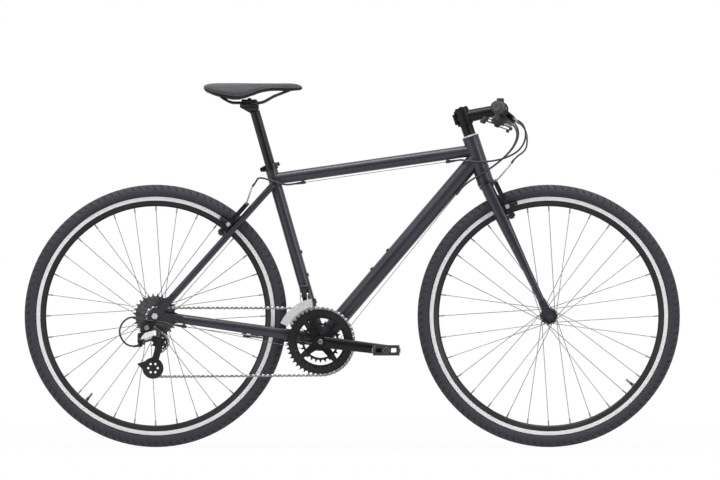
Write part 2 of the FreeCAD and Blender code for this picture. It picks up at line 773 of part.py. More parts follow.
def fork():
    """The fork as one welded piece."""
    steerer = rod(on_head(-20), on_head(stack_top - 3), s.steerer_dia / 2)
    steerer = steerer.cut(rod(on_head(8), on_head(stack_top), s.steerer_dia / 2 - 3))
    race = rod(on_head(-10), on_head(0), s.head_tube_dia / 2 - 1)
    shoulder = rod(on_head(-16, 0, -s.blade_top_side), on_head(-16, 0, s.blade_top_side),
                   s.blade_top_long / 2 - 1)
    top = blade_top + LEFT * s.blade_top_side
    end = front_axle + blade_way * s.blade_end_reach + LEFT * s.blade_end_side
    way = end - top
    start = top - way * 0.03
    blade = Part.makeLoft([
        oval(start, way, s.blade_top_long, s.blade_top_wide, AHEAD),
        oval(top + way * 0.3, way, s.blade_top_long - 1, s.blade_top_wide, AHEAD),
        oval(top + way * 0.72, way, s.blade_end_long + 3, s.blade_end_wide, AHEAD),
        oval(end, way, s.blade_end_long, s.blade_end_wide, AHEAD),
    ], True, True)
    plate_in = s.front_over_nuts / 2
    eye = front_axle + LEFT * plate_in
    drop = link_plate(eye, eye + blade_way * (s.blade_end_reach + 10), 13, 7, LEFT * s.dropout_thick)
    drop = drop.cut(rod(eye + RIGHT, eye + LEFT * 20, s.axle_dia / 2 + s.weld_gap))
    half = blade.fuse([drop, brake_stud(front_pivot, blade_front, front_seat)])
    whole = steerer.fuse([race, shoulder, half, mirrored(half)])
    return whole.removeSplitter()


part_feature("fork", fork())


# Stem with its spacers, face plate, bolts and top cap

spacer_low = s.head_tube_start + s.head_tube_length + 8 + s.run_gap
stem_low = s.head_tube_start + s.head_tube_length + 8 + s.spacer_stack
stem_way = V(math.cos(math.radians(s.stem_rise)), 0, math.sin(math.radians(s.stem_rise)))
stem_rise = V(-stem_way.z, 0, stem_way.x)
stem_root = on_head(stem_low + s.stem_height / 2)
bar_centre = stem_root + stem_way * s.stem_length
steer_hole = s.steerer_dia / 2 + s.weld_gap


def stem():
    """The stem body, the split face plate, four plate bolts, two pinch bolts, the spacers and the top cap."""
    low = on_head(stem_low + 0.1)
    sleeve = rod(low, on_head(stack_top), s.steerer_dia / 2 + 5)
    arm = taper(stem_root, bar_centre, 17, 15)
    ears = rod(on_head(stem_low + 8, -22), on_head(stack_top - 8, -22), 6)
    web = box_between(V(-22, -6, -s.stem_height / 2 + 2), V(0, 6, s.stem_height / 2 - 2))
    web.Placement = FreeCAD.Placement(stem_root, FreeCAD.Rotation(head_ahead, LEFT, head_up, "XYZ"))
    barrel = rod(bar_centre + RIGHT * 22, bar_centre + LEFT * 22, s.bar_clamp_dia / 2 + 4.5)
    lugs = box_between(V(-9, -22, -s.bar_clamp_dia / 2 - 9), V(9, 22, s.bar_clamp_dia / 2 + 9))
    lugs.Placement = FreeCAD.Placement(bar_centre, FreeCAD.Rotation(stem_way, LEFT, stem_rise, "XYZ"))
    barrel = barrel.fuse(rounded(lugs, 3))
    hole = rod(bar_centre + RIGHT * 30, bar_centre + LEFT * 30, s.bar_clamp_dia / 2 + s.weld_gap)
    body = sleeve.fuse([ears, web]).fuse(arm).fuse(barrel)
    slot = box_between(V(-60, -1, -60), V(-5, 1, 60))
    slot.Placement = FreeCAD.Placement(stem_root, FreeCAD.Rotation(head_ahead, LEFT, head_up, "XYZ"))
    body = body.cut([rod(on_head(stem_low - 20), on_head(stack_top + 20), steer_hole), slot, hole])
    front_side = box_between(V(0.8, -50, -50), V(60, 50, 50))
    gap_side = box_between(V(-0.8, -50, -50), V(60, 50, 50))
    for side in (front_side, gap_side):
        side.Placement = FreeCAD.Placement(bar_centre, FreeCAD.Rotation(stem_way, LEFT, stem_rise, "XYZ"))
    plate = body.common(front_side)
    body = body.cut(gap_side)
    bolts = []
    for across in (-15, 15):
        for height in (-1, 1):
            spot = bar_centre + LEFT * across + stem_rise * (height * (s.bar_clamp_dia / 2 + 5))
            bolts.append(rod(spot + stem_way * 9.05, spot + stem_way * 12, 4))
    for height in (12, s.stem_height - 12):
        spot = on_head(stem_low + height, -22)
        bolts.append(rod(spot + RIGHT * 9, spot + RIGHT * 6.05, 4))
    spacers = []
    for low_end, high_end in ((spacer_low, spacer_low + 12), (spacer_low + 12.05, stem_low + 0.05)):
        ring = rod(on_head(low_end), on_head(high_end), s.spacer_dia / 2)
        spacers.append(ring.cut(rod(on_head(low_end - 1), on_head(high_end + 1), steer_hole)))
    cap = rod(on_head(stack_top + 0.05), on_head(stack_top + 4), s.steerer_dia / 2 + 3)
    cap = rounded(cap, 1.2).fuse(rod(on_head(stack_top + 3), on_head(stack_top + 6), 4.5))
    return [body, plate] + bolts + spacers + [cap]


part_feature("stem", Part.makeCompound(stem()))


# Handlebar with a slight backsweep, and its grips

sweep_turn = math.radians(s.bar_sweep)
bar_bend = bar_centre + LEFT * s.bar_taper_end
left_bar_way = V(-math.sin(sweep_turn), math.cos(sweep_turn), 0)
left_bar_end = bar_bend + left_bar_way * ((s.bar_width / 2 - s.bar_taper_end) / left_bar_way.y)


def on_bar(reach):
    """A point on the left half of the bar at a distance in from its end."""
    return left_bar_end - left_bar_way * reach


def bar_shape(shrink, overrun):
    """The bar's outside, or its bore when shrunk."""
    start = bar_centre + LEFT * s.bar_taper_start
    end_radius = s.bar_end_dia / 2 - shrink
    half = rod(bar_centre, start, s.bar_clamp_dia / 2 - shrink)
    half = half.fuse(taper(start, bar_bend, s.bar_clamp_dia / 2 - shrink, end_radius))
    half = half.fuse(Part.makeSphere(end_radius, bar_bend))
    half = half.fuse(rod(bar_bend, left_bar_end + left_bar_way * overrun, end_radius))
    return half.fuse(mirrored(half))


part_feature("handlebar", bar_shape(0, 0).cut(bar_shape(s.bar_wall, 1)))

grip_wall = d.grip_dia / 2
grip_bore = d.bar_end_dia / 2 + d.weld_gap
grip_profile = [
    (grip_bore, 0), (grip_wall + 2, 0), (grip_wall + 2, 3), (grip_wall, 5),
    (grip_wall - 1.5, d.grip_length * 0.3), (grip_wall, d.grip_length * 0.62),
    (grip_wall - 1, d.grip_length - 4), (grip_wall - 3, d.grip_length + 2),
    (0, d.grip_length + 3), (0, d.grip_length + 0.1), (grip_bore, d.grip_length + 0.1),
]
grip_pair = []
for name, sign in (("left_grip", 1), ("right_grip", -1)):
    inner = on_bar(s.grip_length)
    way = V(left_bar_way.x, left_bar_way.y * sign, 0)
    grip_pair.append(lathe(name, grip_profile, turned_at(V(inner.x, inner.y * sign, inner.z), way)))
node(compound("grips", grip_pair), "grips")


# Wheels

wheel_half = d.tyre_width / 2
tyre_centre = d.tyre_radius - wheel_half
rim_half = d.rim_width / 2
bead_side = rim_half - d.rim_wall - d.bead_gap
flank = d.rim_radius + 3 - tyre_centre
inner_half = wheel_half - d.tyre_wall
inner_flank = d.rim_radius + 4 - tyre_centre
flank_side = root(wheel_half * wheel_half - flank * flank)
inner_side = root(inner_half * inner_half - inner_flank * inner_flank)
tyre_profile = [
    (d.rim_radius + 3, flank_side),
    (d.rim_radius + 3, -flank_side, (d.tyre_radius, 0, wheel_half)),
    (d.rim_radius + 0.6, -bead_side), (d.rim_radius - 5.5, -bead_side),
    (d.rim_radius - 5.5, -(bead_side - 2)), (d.rim_radius + 1.6, -(bead_side - 2)),
    (d.rim_radius + 4, -inner_side),
    (d.rim_radius + 4, inner_side, (d.tyre_radius - d.tyre_wall, 0, inner_half)),
    (d.rim_radius + 1.6, bead_side - 2), (d.rim_radius - 5.5, bead_side - 2),
    (d.rim_radius - 5.5, bead_side), (d.rim_radius + 0.6, bead_side),
]
track_low = d.rim_radius - d.brake_track
rim_low = d.rim_radius - d.rim_depth
well = d.rim_radius - 7
rim_profile = [
    (d.rim_radius, rim_half), (track_low, rim_half), (rim_low + 4, rim_half * 0.66),
    (rim_low, rim_half * 0.35), (rim_low, rim_half * -0.35), (rim_low + 4, rim_half * -0.66),
    (track_low, -rim_half), (d.rim_radius, -rim_half),
    (d.rim_radius, -(rim_half - d.rim_wall)), (well, -(rim_half - d.rim_wall)),
    (well, rim_half - d.rim_wall), (d.rim_radius, rim_half - d.rim_wall),
]
hollow_profile = [
    (well - 2, rim_half - d.rim_wall), (track_low, rim_half - d.rim_wall), (rim_low + 4, rim_half * 0.45),
    (rim_low + 2, rim_half * 0.25), (rim_low + 2, rim_half * -0.25), (rim_low + 4, rim_half * -0.45),
    (track_low, -(rim_half - d.rim_wall)), (well - 2, -(rim_half - d.rim_wall)),
]
flange_edge = d.hub_flange_dia / 2
flange_root = flange_edge - 6
flange_thick = d.hub_flange_thick
barrel_edge = d.hub_barrel_dia / 2
axle_bore = d.axle_dia / 2 + d.slide_gap
SPOKE_CIRCLE = 0.86


def hub(name, centre, left_end, left_flange, right_flange, right_end):
    """A hub shell turned in one piece, its flanges drilled for the spokes."""
    profile = [
        (axle_bore, right_end), (barrel_edge - 3, right_end), (barrel_edge, right_flange - flange_thick),
        (flange_root, right_flange - flange_thick / 2), (flange_edge, right_flange - flange_thick / 2),
        (flange_edge, right_flange + flange_thick / 2), (flange_root, right_flange + flange_thick / 2),
        (barrel_edge, right_flange + flange_thick), (barrel_edge - 3, right_flange + flange_thick * 3),
        (barrel_edge - 3, left_flange - flange_thick * 3), (barrel_edge, left_flange - flange_thick),
        (flange_root, left_flange - flange_thick / 2), (flange_edge, left_flange - flange_thick / 2),
        (flange_edge, left_flange + flange_thick / 2), (flange_root, left_flange + flange_thick / 2),
        (barrel_edge, left_flange + flange_thick), (barrel_edge - 3, left_end), (axle_bore, left_end),
    ]
    shell = lathe(name + "_shell", profile, turned_at(centre))
    drills = []
    for side, base in ((float(left_flange), 0), (float(right_flange), 0.5)):
        spot = centre + V(0, side - 6, s.hub_flange_dia / 2 * SPOKE_CIRCLE)
        drill = rod(spot, spot + LEFT * 12, s.spoke_dia / 2 + 0.15)
        drill.rotate(centre, LEFT, base * 720 / s.spoke_count)
        drills += around(drill, s.spoke_count / 2, centre, LEFT)
    tool = doc.addObject("Part::Feature", name + "_drills")
    tool.Shape = Part.makeCompound(drills)
    return node(cut(name, shell, tool), name)


def spoke(centre, flange_y, outer, turn, rim_side):
    """One spoke: head, elbow through the flange, straight run and nipple; it leans a way round the hub."""
    step = 720 / s.spoke_count
    away = 1 if outer else -1
    side = 1 if flange_y > 0 else -1
    hole = V(0, flange_y, s.hub_flange_dia / 2 * SPOKE_CIRCLE)
    clear = 1.5 if outer else 0.2
    bend = hole + LEFT * (side * away * (s.hub_flange_thick / 2 + s.spoke_dia / 2 + clear))
    back = hole - LEFT * (side * away * (s.hub_flange_thick / 2 + 0.2))
    reach = s.rim_radius - s.rim_depth - 0.05
    lean = math.radians(turn * s.spoke_cross * step)
    tip = V(math.sin(lean) * reach, rim_side, math.cos(lean) * reach)
    run = (tip - bend).normalize()
    wire = rod(bend, tip - run * s.nipple_length, s.spoke_dia / 2)
    elbow = rod(back, bend, s.spoke_dia / 2).fuse(Part.makeSphere(s.spoke_dia / 2, bend))
    head = rod(back, back - LEFT * (side * away * 1.2), s.spoke_dia * 0.9)
    nipple = rod(tip - run * s.nipple_length, tip - run * 0.3, s.nipple_dia / 2)
    shape = wire.fuse([elbow, head, nipple])
    shape.translate(centre)
    return shape


def spokes(name, centre, left_flange, right_flange):
    """All spokes of a wheel: on each flange every second one leans forward outside, the rest back inside."""
    step = 720 / s.spoke_count
    all_spokes = []
    for flange_y, base, rim_side in ((left_flange, 0.0, 2.0), (right_flange, 0.5, -2.0)):
        for outer, turn in ((True, 1), (False, -1)):
            one = spoke(centre, flange_y, outer, turn, rim_side)
            offset = base * step + (0 if outer else step)
            one.rotate(centre, LEFT, offset)
            all_spokes += around(one, s.spoke_count / 4, centre, LEFT)
    return part_feature(name, Part.makeCompound(all_spokes))


def axle(name, centre, half_over, right_inner, left_inner):
    """A threaded axle with its cones inside the dropouts and its nuts outside them."""
    out = half_over + s.dropout_thick
    shaft = rod(centre + RIGHT * (out + 9), centre + LEFT * (out + 9), s.axle_dia / 2)
    pieces = [shaft]
    for sign, inner in ((-1, right_inner), (1, left_inner)):
        side = LEFT * sign
        cone = rod(centre + side * inner, centre + side * (half_over - 0.02), 8)
        seat = centre + side * (out + 0.02)
        hexagon = [polar(seat, 8.6, math.radians(60 * k)) for k in range(6)]
        nut = slab(hexagon, side * 7)
        bore = rod(centre + RIGHT * 200, centre + LEFT * 200, s.axle_dia / 2 + 0.01)
        pieces += [cone.cut(bore), nut.cut(bore)]
    return part_feature(name, Part.makeCompound(pieces))


for end, centre in (("front", front_axle), ("rear", rear_axle)):
    node(lathe(end + "_tyre", tyre_profile, turned_at(centre)), end + "_tyre")
    outer_rim = lathe(end + "_rim_section", rim_profile, turned_at(centre))
    inner_rim = lathe(end + "_rim_hollow", hollow_profile, turned_at(centre))
    node(cut(end + "_rim", outer_rim, inner_rim), end + "_rim")
front_half = d.front_over_nuts / 2
rear_half = d.rear_over_nuts / 2
CONE_LENGTH = 6
front_end = front_half - CONE_LENGTH - d.run_gap
hub("front_hub", front_axle, front_end, d.front_flange_gap / 2, -(d.front_flange_gap / 2), -front_end)
hub("rear_hub", rear_axle, rear_half - CONE_LENGTH - d.run_gap, d.rear_flange_left, -d.rear_flange_right,
    -(d.rear_flange_right + 3.5))
spokes("front_spokes", front_axle, s.front_flange_gap / 2, -s.front_flange_gap / 2)
spokes("rear_spokes", rear_axle, s.rear_flange_left, -s.rear_flange_right)
front_cone = s.front_over_nuts / 2 - CONE_LENGTH
axle("front_axle", front_axle, s.front_over_nuts / 2, front_cone, front_cone)
axle("rear_axle", rear_axle, s.rear_over_nuts / 2, s.rear_over_nuts / 2 - 2,
     s.rear_over_nuts / 2 - CONE_LENGTH)


# Chain path: the big ring, the smallest cog and the two pulleys of the rear derailleur

def pitch_radius(teeth):
    """The radius of the circle through the roller centres on a sprocket."""
    return s.chain_pitch / (2 * math.sin(math.pi / teeth))


guide_rest = rear_axle + V(s.guide_ahead, -s.cog_line, -s.guide_down)
cage_pivot = guide_rest + V(-s.cage_pivot_back, 0, s.cage_pivot_up)
STRAIGHT_PITCHES = 3.5
CLOCKWISE = -1
COUNTER = 1


def chain_loop(cage_turn):
    """The four wheels that the chain runs round, in its order, with the cage turned about its pivot."""
    lean = math.radians(s.cage_lean)
    tension_rest = guide_rest + V(-math.sin(lean), 0, -math.cos(lean)) * s.cage_length
    turn = FreeCAD.Placement(V(), FreeCAD.Rotation(RIGHT, cage_turn), cage_pivot)
    guide = turn.multVec(guide_rest)
    tension = turn.multVec(tension_rest)
    return [
        SimpleNamespace(name="ring", centre=bb + RIGHT * s.ring_line, teeth=s.big_ring, way=CLOCKWISE),
        SimpleNamespace(name="tension", centre=tension, teeth=s.pulley_teeth, way=CLOCKWISE),
        SimpleNamespace(name="guide", centre=guide, teeth=s.pulley_teeth, way=COUNTER),
        SimpleNamespace(name="cog", centre=rear_axle + RIGHT * s.cog_line, teeth=s.small_cog, way=CLOCKWISE),
    ]


def chain_route(loop):
    """Runs and wraps of the chain with their lengths in pitches."""
    for wheel, following in zip(loop, loop[1:] + loop[:1]):
        gap = following.centre - wheel.centre
        swing = following.way * pitch_radius(following.teeth) - wheel.way * pitch_radius(wheel.teeth)
        heading = math.atan2(gap.z, gap.x) - math.asin(swing / math.hypot(gap.x, gap.z))
        wheel.leave = heading - wheel.way * math.pi / 2
        following.arrive = heading - following.way * math.pi / 2
    route = []
    for wheel, following in zip(loop, loop[1:] + loop[:1]):
        sweep = (wheel.way * (wheel.leave - wheel.arrive)) % (2 * math.pi)
        route.append((sweep * wheel.teeth / (2 * math.pi), wheel, None))
        start = polar(wheel.centre, pitch_radius(wheel.teeth), wheel.leave)
        end = polar(following.centre, pitch_radius(following.teeth), following.arrive)
        route.append((start.distanceToPoint(end) / s.chain_pitch, start, end))
    return route


def chain_pitches(cage_turn):
    """The chain's length in pitches with the cage turned by an angle."""
    return sum(length for length, _, _ in chain_route(chain_loop(cage_turn)))


def settled_cage():
    """The cage's turn at which the chain is a whole, even number of links."""
    low, high = -14.0, 14.0
    count = 2 * round(chain_pitches(0) / 2)
    rising = chain_pitches(high) > chain_pitches(low)
    for _ in range(60):
        middle = (low + high) / 2
        if (chain_pitches(middle) < count) == rising:
            low = middle
        else:
            high = middle
    return (low + high) / 2, count


cage_turn, link_count = settled_cage()
loop = chain_loop(cage_turn)
route = chain_route(loop)


def chain_pin(index):
    """The place of a chain pin, and the wheel that it sits on, if any."""
    left = index
    for length, first, second in route:
        if left < length:
            break
        left -= length
    if second is None:
        angle = first.arrive + first.way * left * 2 * math.pi / first.teeth
        return polar(first.centre, pitch_radius(first.teeth), angle), first, angle
    place = first + (second - first) * (left / length)
    level = min(max((left - STRAIGHT_PITCHES) / (length - 2 * STRAIGHT_PITCHES), 0), 1)
    place.y = first.y + (second.y - first.y) * level
    return place, None, None


pins = []
for index in range(link_count):
    place, wheel, angle = chain_pin(index)
    pins.append(place)
    if wheel is not None:
        wheel.phase = angle


def chain_plate(side):
    """A waisted side plate, its inner face at a distance from the chain's middle."""
    tall = s.chain_plate_tall / 2
    end = s.chain_pitch
    lean = tall * math.sin(math.radians(50))
    edge = tall * math.cos(math.radians(50))
    waist = tall * 0.72
    edges = [
        Part.Arc(V(edge, side, lean), V(end / 2, side, waist), V(end - edge, side, lean)).toShape(),
        Part.Arc(V(end - edge, side, lean), V(end + tall, side, 0), V(end - edge, side, -lean)).toShape(),
        Part.Arc(V(end - edge, side, -lean), V(end / 2, side, -waist), V(edge, side, -lean)).toShape(),
        Part.Arc(V(edge, side, -lean), V(-tall, side, 0), V(edge, side, lean)).toShape(),
    ]
    return Part.Face(Part.Wire(edges)).extrude(LEFT * s.plate_thick)


def chain():
    """Inner links with rollers and outer links with pins, laid in turn along the path."""
    half = s.chain_inner_width / 2
    inner_low = half + s.plate_thick
    outer_side = inner_low + 0.05
    pin_radius = s.roller_dia * 0.23
    inner = chain_plate(half).fuse([chain_plate(-inner_low)])
    outer = chain_plate(outer_side).fuse([chain_plate(-outer_side - s.plate_thick)])
    for end in (V(0, 0, 0), V(s.chain_pitch, 0, 0)):
        inner = inner.fuse(rod(end + RIGHT * half, end + LEFT * half, s.roller_dia / 2))
        tip = outer_side + s.plate_thick + 0.3
        outer = outer.fuse(rod(end + RIGHT * tip, end + LEFT * tip, pin_radius))
        inner = inner.cut(rod(end + RIGHT * 9, end + LEFT * 9, pin_radius + 0.05))
    links = []
    for index, place in enumerate(pins):
        ahead = pins[(index + 1) % link_count] - place
        link = (inner if index % 2 == 0 else outer).copy()
        link.Placement = FreeCAD.Placement(place, FreeCAD.Rotation(ahead, LEFT, V(), "XYZ"))
        links.append(link)
    return links


part_feature("chain", Part.makeCompound(chain()))


# Sprockets

def toothed(teeth, inner_radius, thickness, phase=0.0):
    """A toothed ring about the Y axis with a roller seat at a phase angle."""
    radius = pitch_radius(teeth)
    seat = s.roller_dia / 2 + 0.12
    tip = s.chain_pitch * (0.6 + 1 / math.tan(math.pi / teeth)) / 2
    half = math.pi / teeth
    open_angle = math.radians(62)
    tip_half = 0.7 / tip
    edges = []
    for index in range(int(teeth)):
        angle = phase + index * 2 * half
        middle = polar(V(), radius, angle)
        low = polar(middle, seat, angle + math.pi + open_angle)
        high = polar(middle, seat, angle + math.pi - open_angle)
        tip_low = polar(V(), tip, angle + half - tip_half)
        tip_high = polar(V(), tip, angle + half + tip_half)
        after = polar(V(), radius, angle + 2 * half)
        meet = polar(after, seat, angle + 2 * half + math.pi + open_angle)
        edges.append(Part.Arc(low, polar(middle, seat, angle + math.pi), high).toShape())
        edges.append(Part.LineSegment(high, tip_low).toShape())
        edges.append(Part.LineSegment(tip_low, tip_high).toShape())
        edges.append(Part.LineSegment(tip_high, meet).toShape())
    ring = Part.Face(Part.Wire(edges)).extrude(LEFT * thickness)
    ring.translate(RIGHT * (thickness / 2))
    return ring.cut(Part.makeCylinder(inner_radius, thickness * 4, RIGHT * (thickness * 2), LEFT))


def at_point(shape, point):
    """A shape moved from the origin to a point."""
    shape.translate(point)
    return shape


phases = {wheel.name: wheel.phase for wheel in loop}
COGS = (11, 13, 15, 17, 19, 21, 24, 28)


def cassette():
    """Eight cogs and their spacers on the driver body, closed by the lock ring."""
    core_radius = 15.5
    right = s.cog_line + 2.4
    core = rod(rear_axle + RIGHT * (s.rear_flange_right + 3.8), rear_axle + RIGHT * right, core_radius)
    lock = rod(rear_axle + RIGHT * right, rear_axle + RIGHT * (right + 0.8), core_radius - 1)
    bore = rod(rear_axle + RIGHT * 90, rear_axle + RIGHT * 5, s.axle_dia / 2 + s.slide_gap)
    solid = core.fuse(lock)
    for index, teeth in enumerate(COGS):
        side = s.cog_line - index * s.cog_spacing
        phase = phases["cog"] if index == 0 else 0.0
        solid = solid.fuse(at_point(toothed(teeth, core_radius - 2, s.tooth_thick, phase),
                                    rear_axle + RIGHT * side))
        if teeth > 20:
            windows = []
            radius = pitch_radius(teeth) * 0.68
            for turn in range(6):
                spot = polar(rear_axle + RIGHT * (side + 2), radius, math.radians(60 * turn))
                windows.append(rod(spot, spot + LEFT * 4, radius * 0.14))
            solid = solid.cut(windows)
    return solid.cut(bore).removeSplitter()


part_feature("cassette", cassette())

crank_turn = -math.radians(s.crank_drop)
SPIDER_ARMS = [crank_turn + math.radians(45 + 90 * index) for index in range(4)]
ring_planes = [s.ring_line - s.ring_spacing * index for index in range(3)]
arm_in = ring_planes[1] + s.tooth_thick / 2 + s.weld_gap
arm_out = ring_planes[0] - s.tooth_thick / 2 - s.weld_gap


def chainring(teeth, side, rim_inner, bolt_radius, phase):
    """A chainring with four tabs for its bolts."""
    centre = bb + RIGHT * side
    ring = at_point(toothed(teeth, rim_inner, s.tooth_thick, phase), centre)
    tabs = []
    for angle in SPIDER_ARMS:
        foot = polar(centre, rim_inner - 2, angle) + RIGHT * (s.tooth_thick / 2)
        spot = polar(centre, bolt_radius, angle) + RIGHT * (s.tooth_thick / 2)
        tabs.append(link_plate(foot, spot, 7, 7, LEFT * s.tooth_thick))
    ring = ring.fuse(tabs)
    holes = [rod(polar(centre, bolt_radius, angle) + RIGHT * 9,
                 polar(centre, bolt_radius, angle) + LEFT * 9, 4.05)
             for angle in SPIDER_ARMS]
    return ring.cut(holes).removeSplitter()


def chainrings():
    """Three rings, the bolts that hold them to the spider, and the small ring's posts."""
    outer_bolt = s.bolt_circle_dia / 2
    inner_bolt = s.small_bolt_circle_dia / 2
    pieces = [
        chainring(s.big_ring, ring_planes[0], 69, outer_bolt, phases["ring"]),
        chainring(s.middle_ring, ring_planes[1], 62, outer_bolt, 0.0),
        chainring(s.small_ring, ring_planes[2], 43, inner_bolt, 0.0),
    ]
    for angle in SPIDER_ARMS:
        spot = polar(bb, outer_bolt, angle)
        shank = rod(spot + RIGHT * (ring_planes[0] + 2.2), spot + RIGHT * (ring_planes[1] - 2.2), 4)
        head = rod(spot + RIGHT * (ring_planes[0] + 1), spot + RIGHT * (ring_planes[0] + 2.6), 5)
        nut = rod(spot + RIGHT * (ring_planes[1] - 1), spot + RIGHT * (ring_planes[1] - 2.6), 5)
        pieces.append(shank.fuse([head, nut]))
        spot = polar(bb, inner_bolt, angle)
        post = rod(spot + RIGHT * (arm_in - 0.05),
                   spot + RIGHT * (ring_planes[2] + s.tooth_thick / 2 + 0.03), 5.5)
        screw = rod(spot + RIGHT * (ring_planes[2] + 2), spot + RIGHT * (ring_planes[2] - 2.2), 4)
        cap = rod(spot + RIGHT * (ring_planes[2] - 1), spot + RIGHT * (ring_planes[2] - 2.6), 5)
        pieces.append(post.fuse([screw, cap]))
    return pieces


part_feature("chainrings", Part.makeCompound(chainrings()))


# Cranks, spindle and pedals

def crank_arm(turn, tall_root, tall_end):
    """One crank arm on the drive side: boss, tapered arm that flares outward and the pedal eye."""
    root = bb + RIGHT * s.crank_side
    eye = polar(bb + RIGHT * s.pedal_eye_side, s.crank_length, turn)
    way = eye - root
    upright = V(-math.sin(turn), 0, math.cos(turn))
    arm = Part.makeLoft([
        oval(root, way, tall_root, 15, upright),
        oval(eye, way, tall_end, 12.5, upright),
    ], True)
    end = rod(eye + LEFT * 6.5, eye + RIGHT * 6.5, tall_end / 2)
    boss = rod(bb + RIGHT * (s.crank_side - 7), bb + RIGHT * (s.crank_side + 8.5), tall_root / 2 + 1.5)
    return arm.fuse([rounded(end, 2), boss]).cut([
        rod(bb, bb + RIGHT * (s.spindle_half + s.weld_gap), s.bb_bore_dia / 2 + s.weld_gap),
        rod(eye + LEFT * 10, eye + RIGHT * 10, s.pedal_axle_dia / 2 + s.weld_gap),
    ])


def spider():
    """Four arms that carry the rings, spread from the crank boss."""
    hub_piece = rod(bb + RIGHT * arm_in, bb + RIGHT * (s.crank_side - 4), 21)
    arms = []
    for angle in SPIDER_ARMS:
        spot = polar(bb, s.bolt_circle_dia / 2, angle) + RIGHT * arm_out
        arms.append(link_plate(bb + RIGHT * arm_out, spot, 13, 8, LEFT * (arm_out - arm_in)))
        arms[-1] = arms[-1].cut(rod(spot + RIGHT * 20, spot + LEFT * 20, 4.05))
    shell = hub_piece.fuse(arms)
    return shell.cut(rod(bb, bb + RIGHT * (s.spindle_half + s.weld_gap), s.bb_bore_dia / 2 + s.weld_gap))


drive_arm = crank_arm(crank_turn, 31, 27).fuse(spider()).removeSplitter()
far_arm = crank_arm(crank_turn + math.pi, 31, 27)
far_arm = mirrored(far_arm.fuse(rod(bb + RIGHT * (s.crank_side - 14), bb + RIGHT * (s.crank_side - 6),
                                    16).cut(
    rod(bb, bb + RIGHT * s.spindle_half, s.bb_bore_dia / 2 + s.weld_gap))).removeSplitter())
part_feature("crank_arms", Part.makeCompound([drive_arm, far_arm]))

right_pedal_eye = polar(bb, s.crank_length, crank_turn)
left_pedal_eye = polar(bb, s.crank_length, crank_turn + math.pi)
pedal_in = s.pedal_eye_side + 6.5 + 2


def crank_spindle():
    """The spindle with its two crank bolts, and the pedal axles screwed into the cranks."""
    pieces = [rod(bb + RIGHT * s.spindle_half, bb + LEFT * s.spindle_half, s.bb_bore_dia / 2)]
    for side, eye in ((RIGHT, right_pedal_eye), (LEFT, left_pedal_eye)):
        bolt = rod(bb + side * (s.crank_side + 8.55), bb + side * (s.crank_side + 11), 10)
        pieces.append(rounded(bolt, 1))
        shaft = rod(eye + side * (s.pedal_eye_side - 7), eye + side * (pedal_in + s.pedal_width - 8),
                    s.pedal_axle_dia / 2)
        collar = rod(eye + side * (s.pedal_eye_side + 6.55), eye + side * (pedal_in - s.run_gap), 8)
        pieces.append(shaft.fuse(collar))
    return pieces


part_feature("crank_spindle", Part.makeCompound(crank_spindle()))


def pedal(eye, turn):
    """A platform pedal: axle barrel, two gripping rails and end plates, open on both sides of the barrel."""
    barrel = rod(V(0, 0, 0), V(0, s.pedal_width, 0), s.pedal_thick * 0.38)
    frame = box_between(V(-s.pedal_length / 2, 2, -s.pedal_thick / 2),
                        V(s.pedal_length / 2, s.pedal_width, s.pedal_thick / 2))
    frame = rounded(frame, 5, lambda edge: abs(edge.Vertexes[0].Z - edge.Vertexes[1].Z) > 1)
    window = box_between(V(-s.pedal_length / 2 + 7, 11, -s.pedal_thick),
                         V(s.pedal_length / 2 - 7, s.pedal_width - 11, s.pedal_thick))
    frame = frame.cut(window)
    notches = []
    for index in range(5):
        middle = 17 + index * (s.pedal_width - 34) / 4
        for height in (-1, 1):
            notches.append(rod(V(-s.pedal_length, middle, height * s.pedal_thick / 2),
                               V(s.pedal_length, middle, height * s.pedal_thick / 2), 4))
    body = frame.cut(notches).fuse(barrel)
    body = body.cut(rod(V(0, -1, 0), V(0, s.pedal_width - 6, 0), s.pedal_axle_dia / 2 + s.slide_gap))
    body = body.removeSplitter()
    body.rotate(V(), LEFT, math.degrees(turn))
    return at_point(body, eye + LEFT * pedal_in)


part_feature("left_pedal", pedal(left_pedal_eye, 0))
part_feature("right_pedal", mirrored(pedal(right_pedal_eye, 0)))


# Rear derailleur: a parallelogram that carries the cage across the cogs and down away from them

def unit(vector):
    """A copy of a vector with length one."""
    return V(vector).normalize()


hanger_face = rear_axle + V(-s.hanger_back, -(s.rear_over_nuts / 2 + s.dropout_thick), -s.hanger_down)
rd_travel = V(s.derailleur_ahead, (len(COGS) - 1) * s.cog_spacing, -s.derailleur_drop)
rd_across = unit(rd_travel)
rd_square = unit(AHEAD - rd_across * rd_across.x)
rd_reach = rd_square * math.sqrt(s.derailleur_link ** 2 - (rd_travel.Length / 2) ** 2) - rd_travel * 0.5
rd_axis = unit(rd_square.cross(rd_across))
rd_swing = 2 * math.degrees(math.asin(rd_travel.Length / 2 / s.derailleur_link))
outer_root = hanger_face + V(-12, -12, -26)
inner_root = outer_root + rd_across * s.link_spacing
outer_tip = outer_root + rd_reach
inner_tip = inner_root + rd_reach
link_half = s.derailleur_link_wide / 2
OUTER_LINK_EDGE = 5.0
INNER_LINK_EDGE = 4.0
adjuster_end = outer_root + V(-13, 2, -22)
adjuster_way = unit(V(13, 0, 2))
LINK_LIST = ((outer_root, OUTER_LINK_EDGE), (inner_root, INNER_LINK_EDGE))


def rd_link(root_point, edge, extra=0.0):
    """One link of the parallelogram, or the room round it."""
    low = rd_axis * -(link_half + extra)
    return link_plate(root_point + low, root_point + rd_reach + low, edge + extra, edge + extra,
                      rd_axis * (2 * (link_half + extra)))


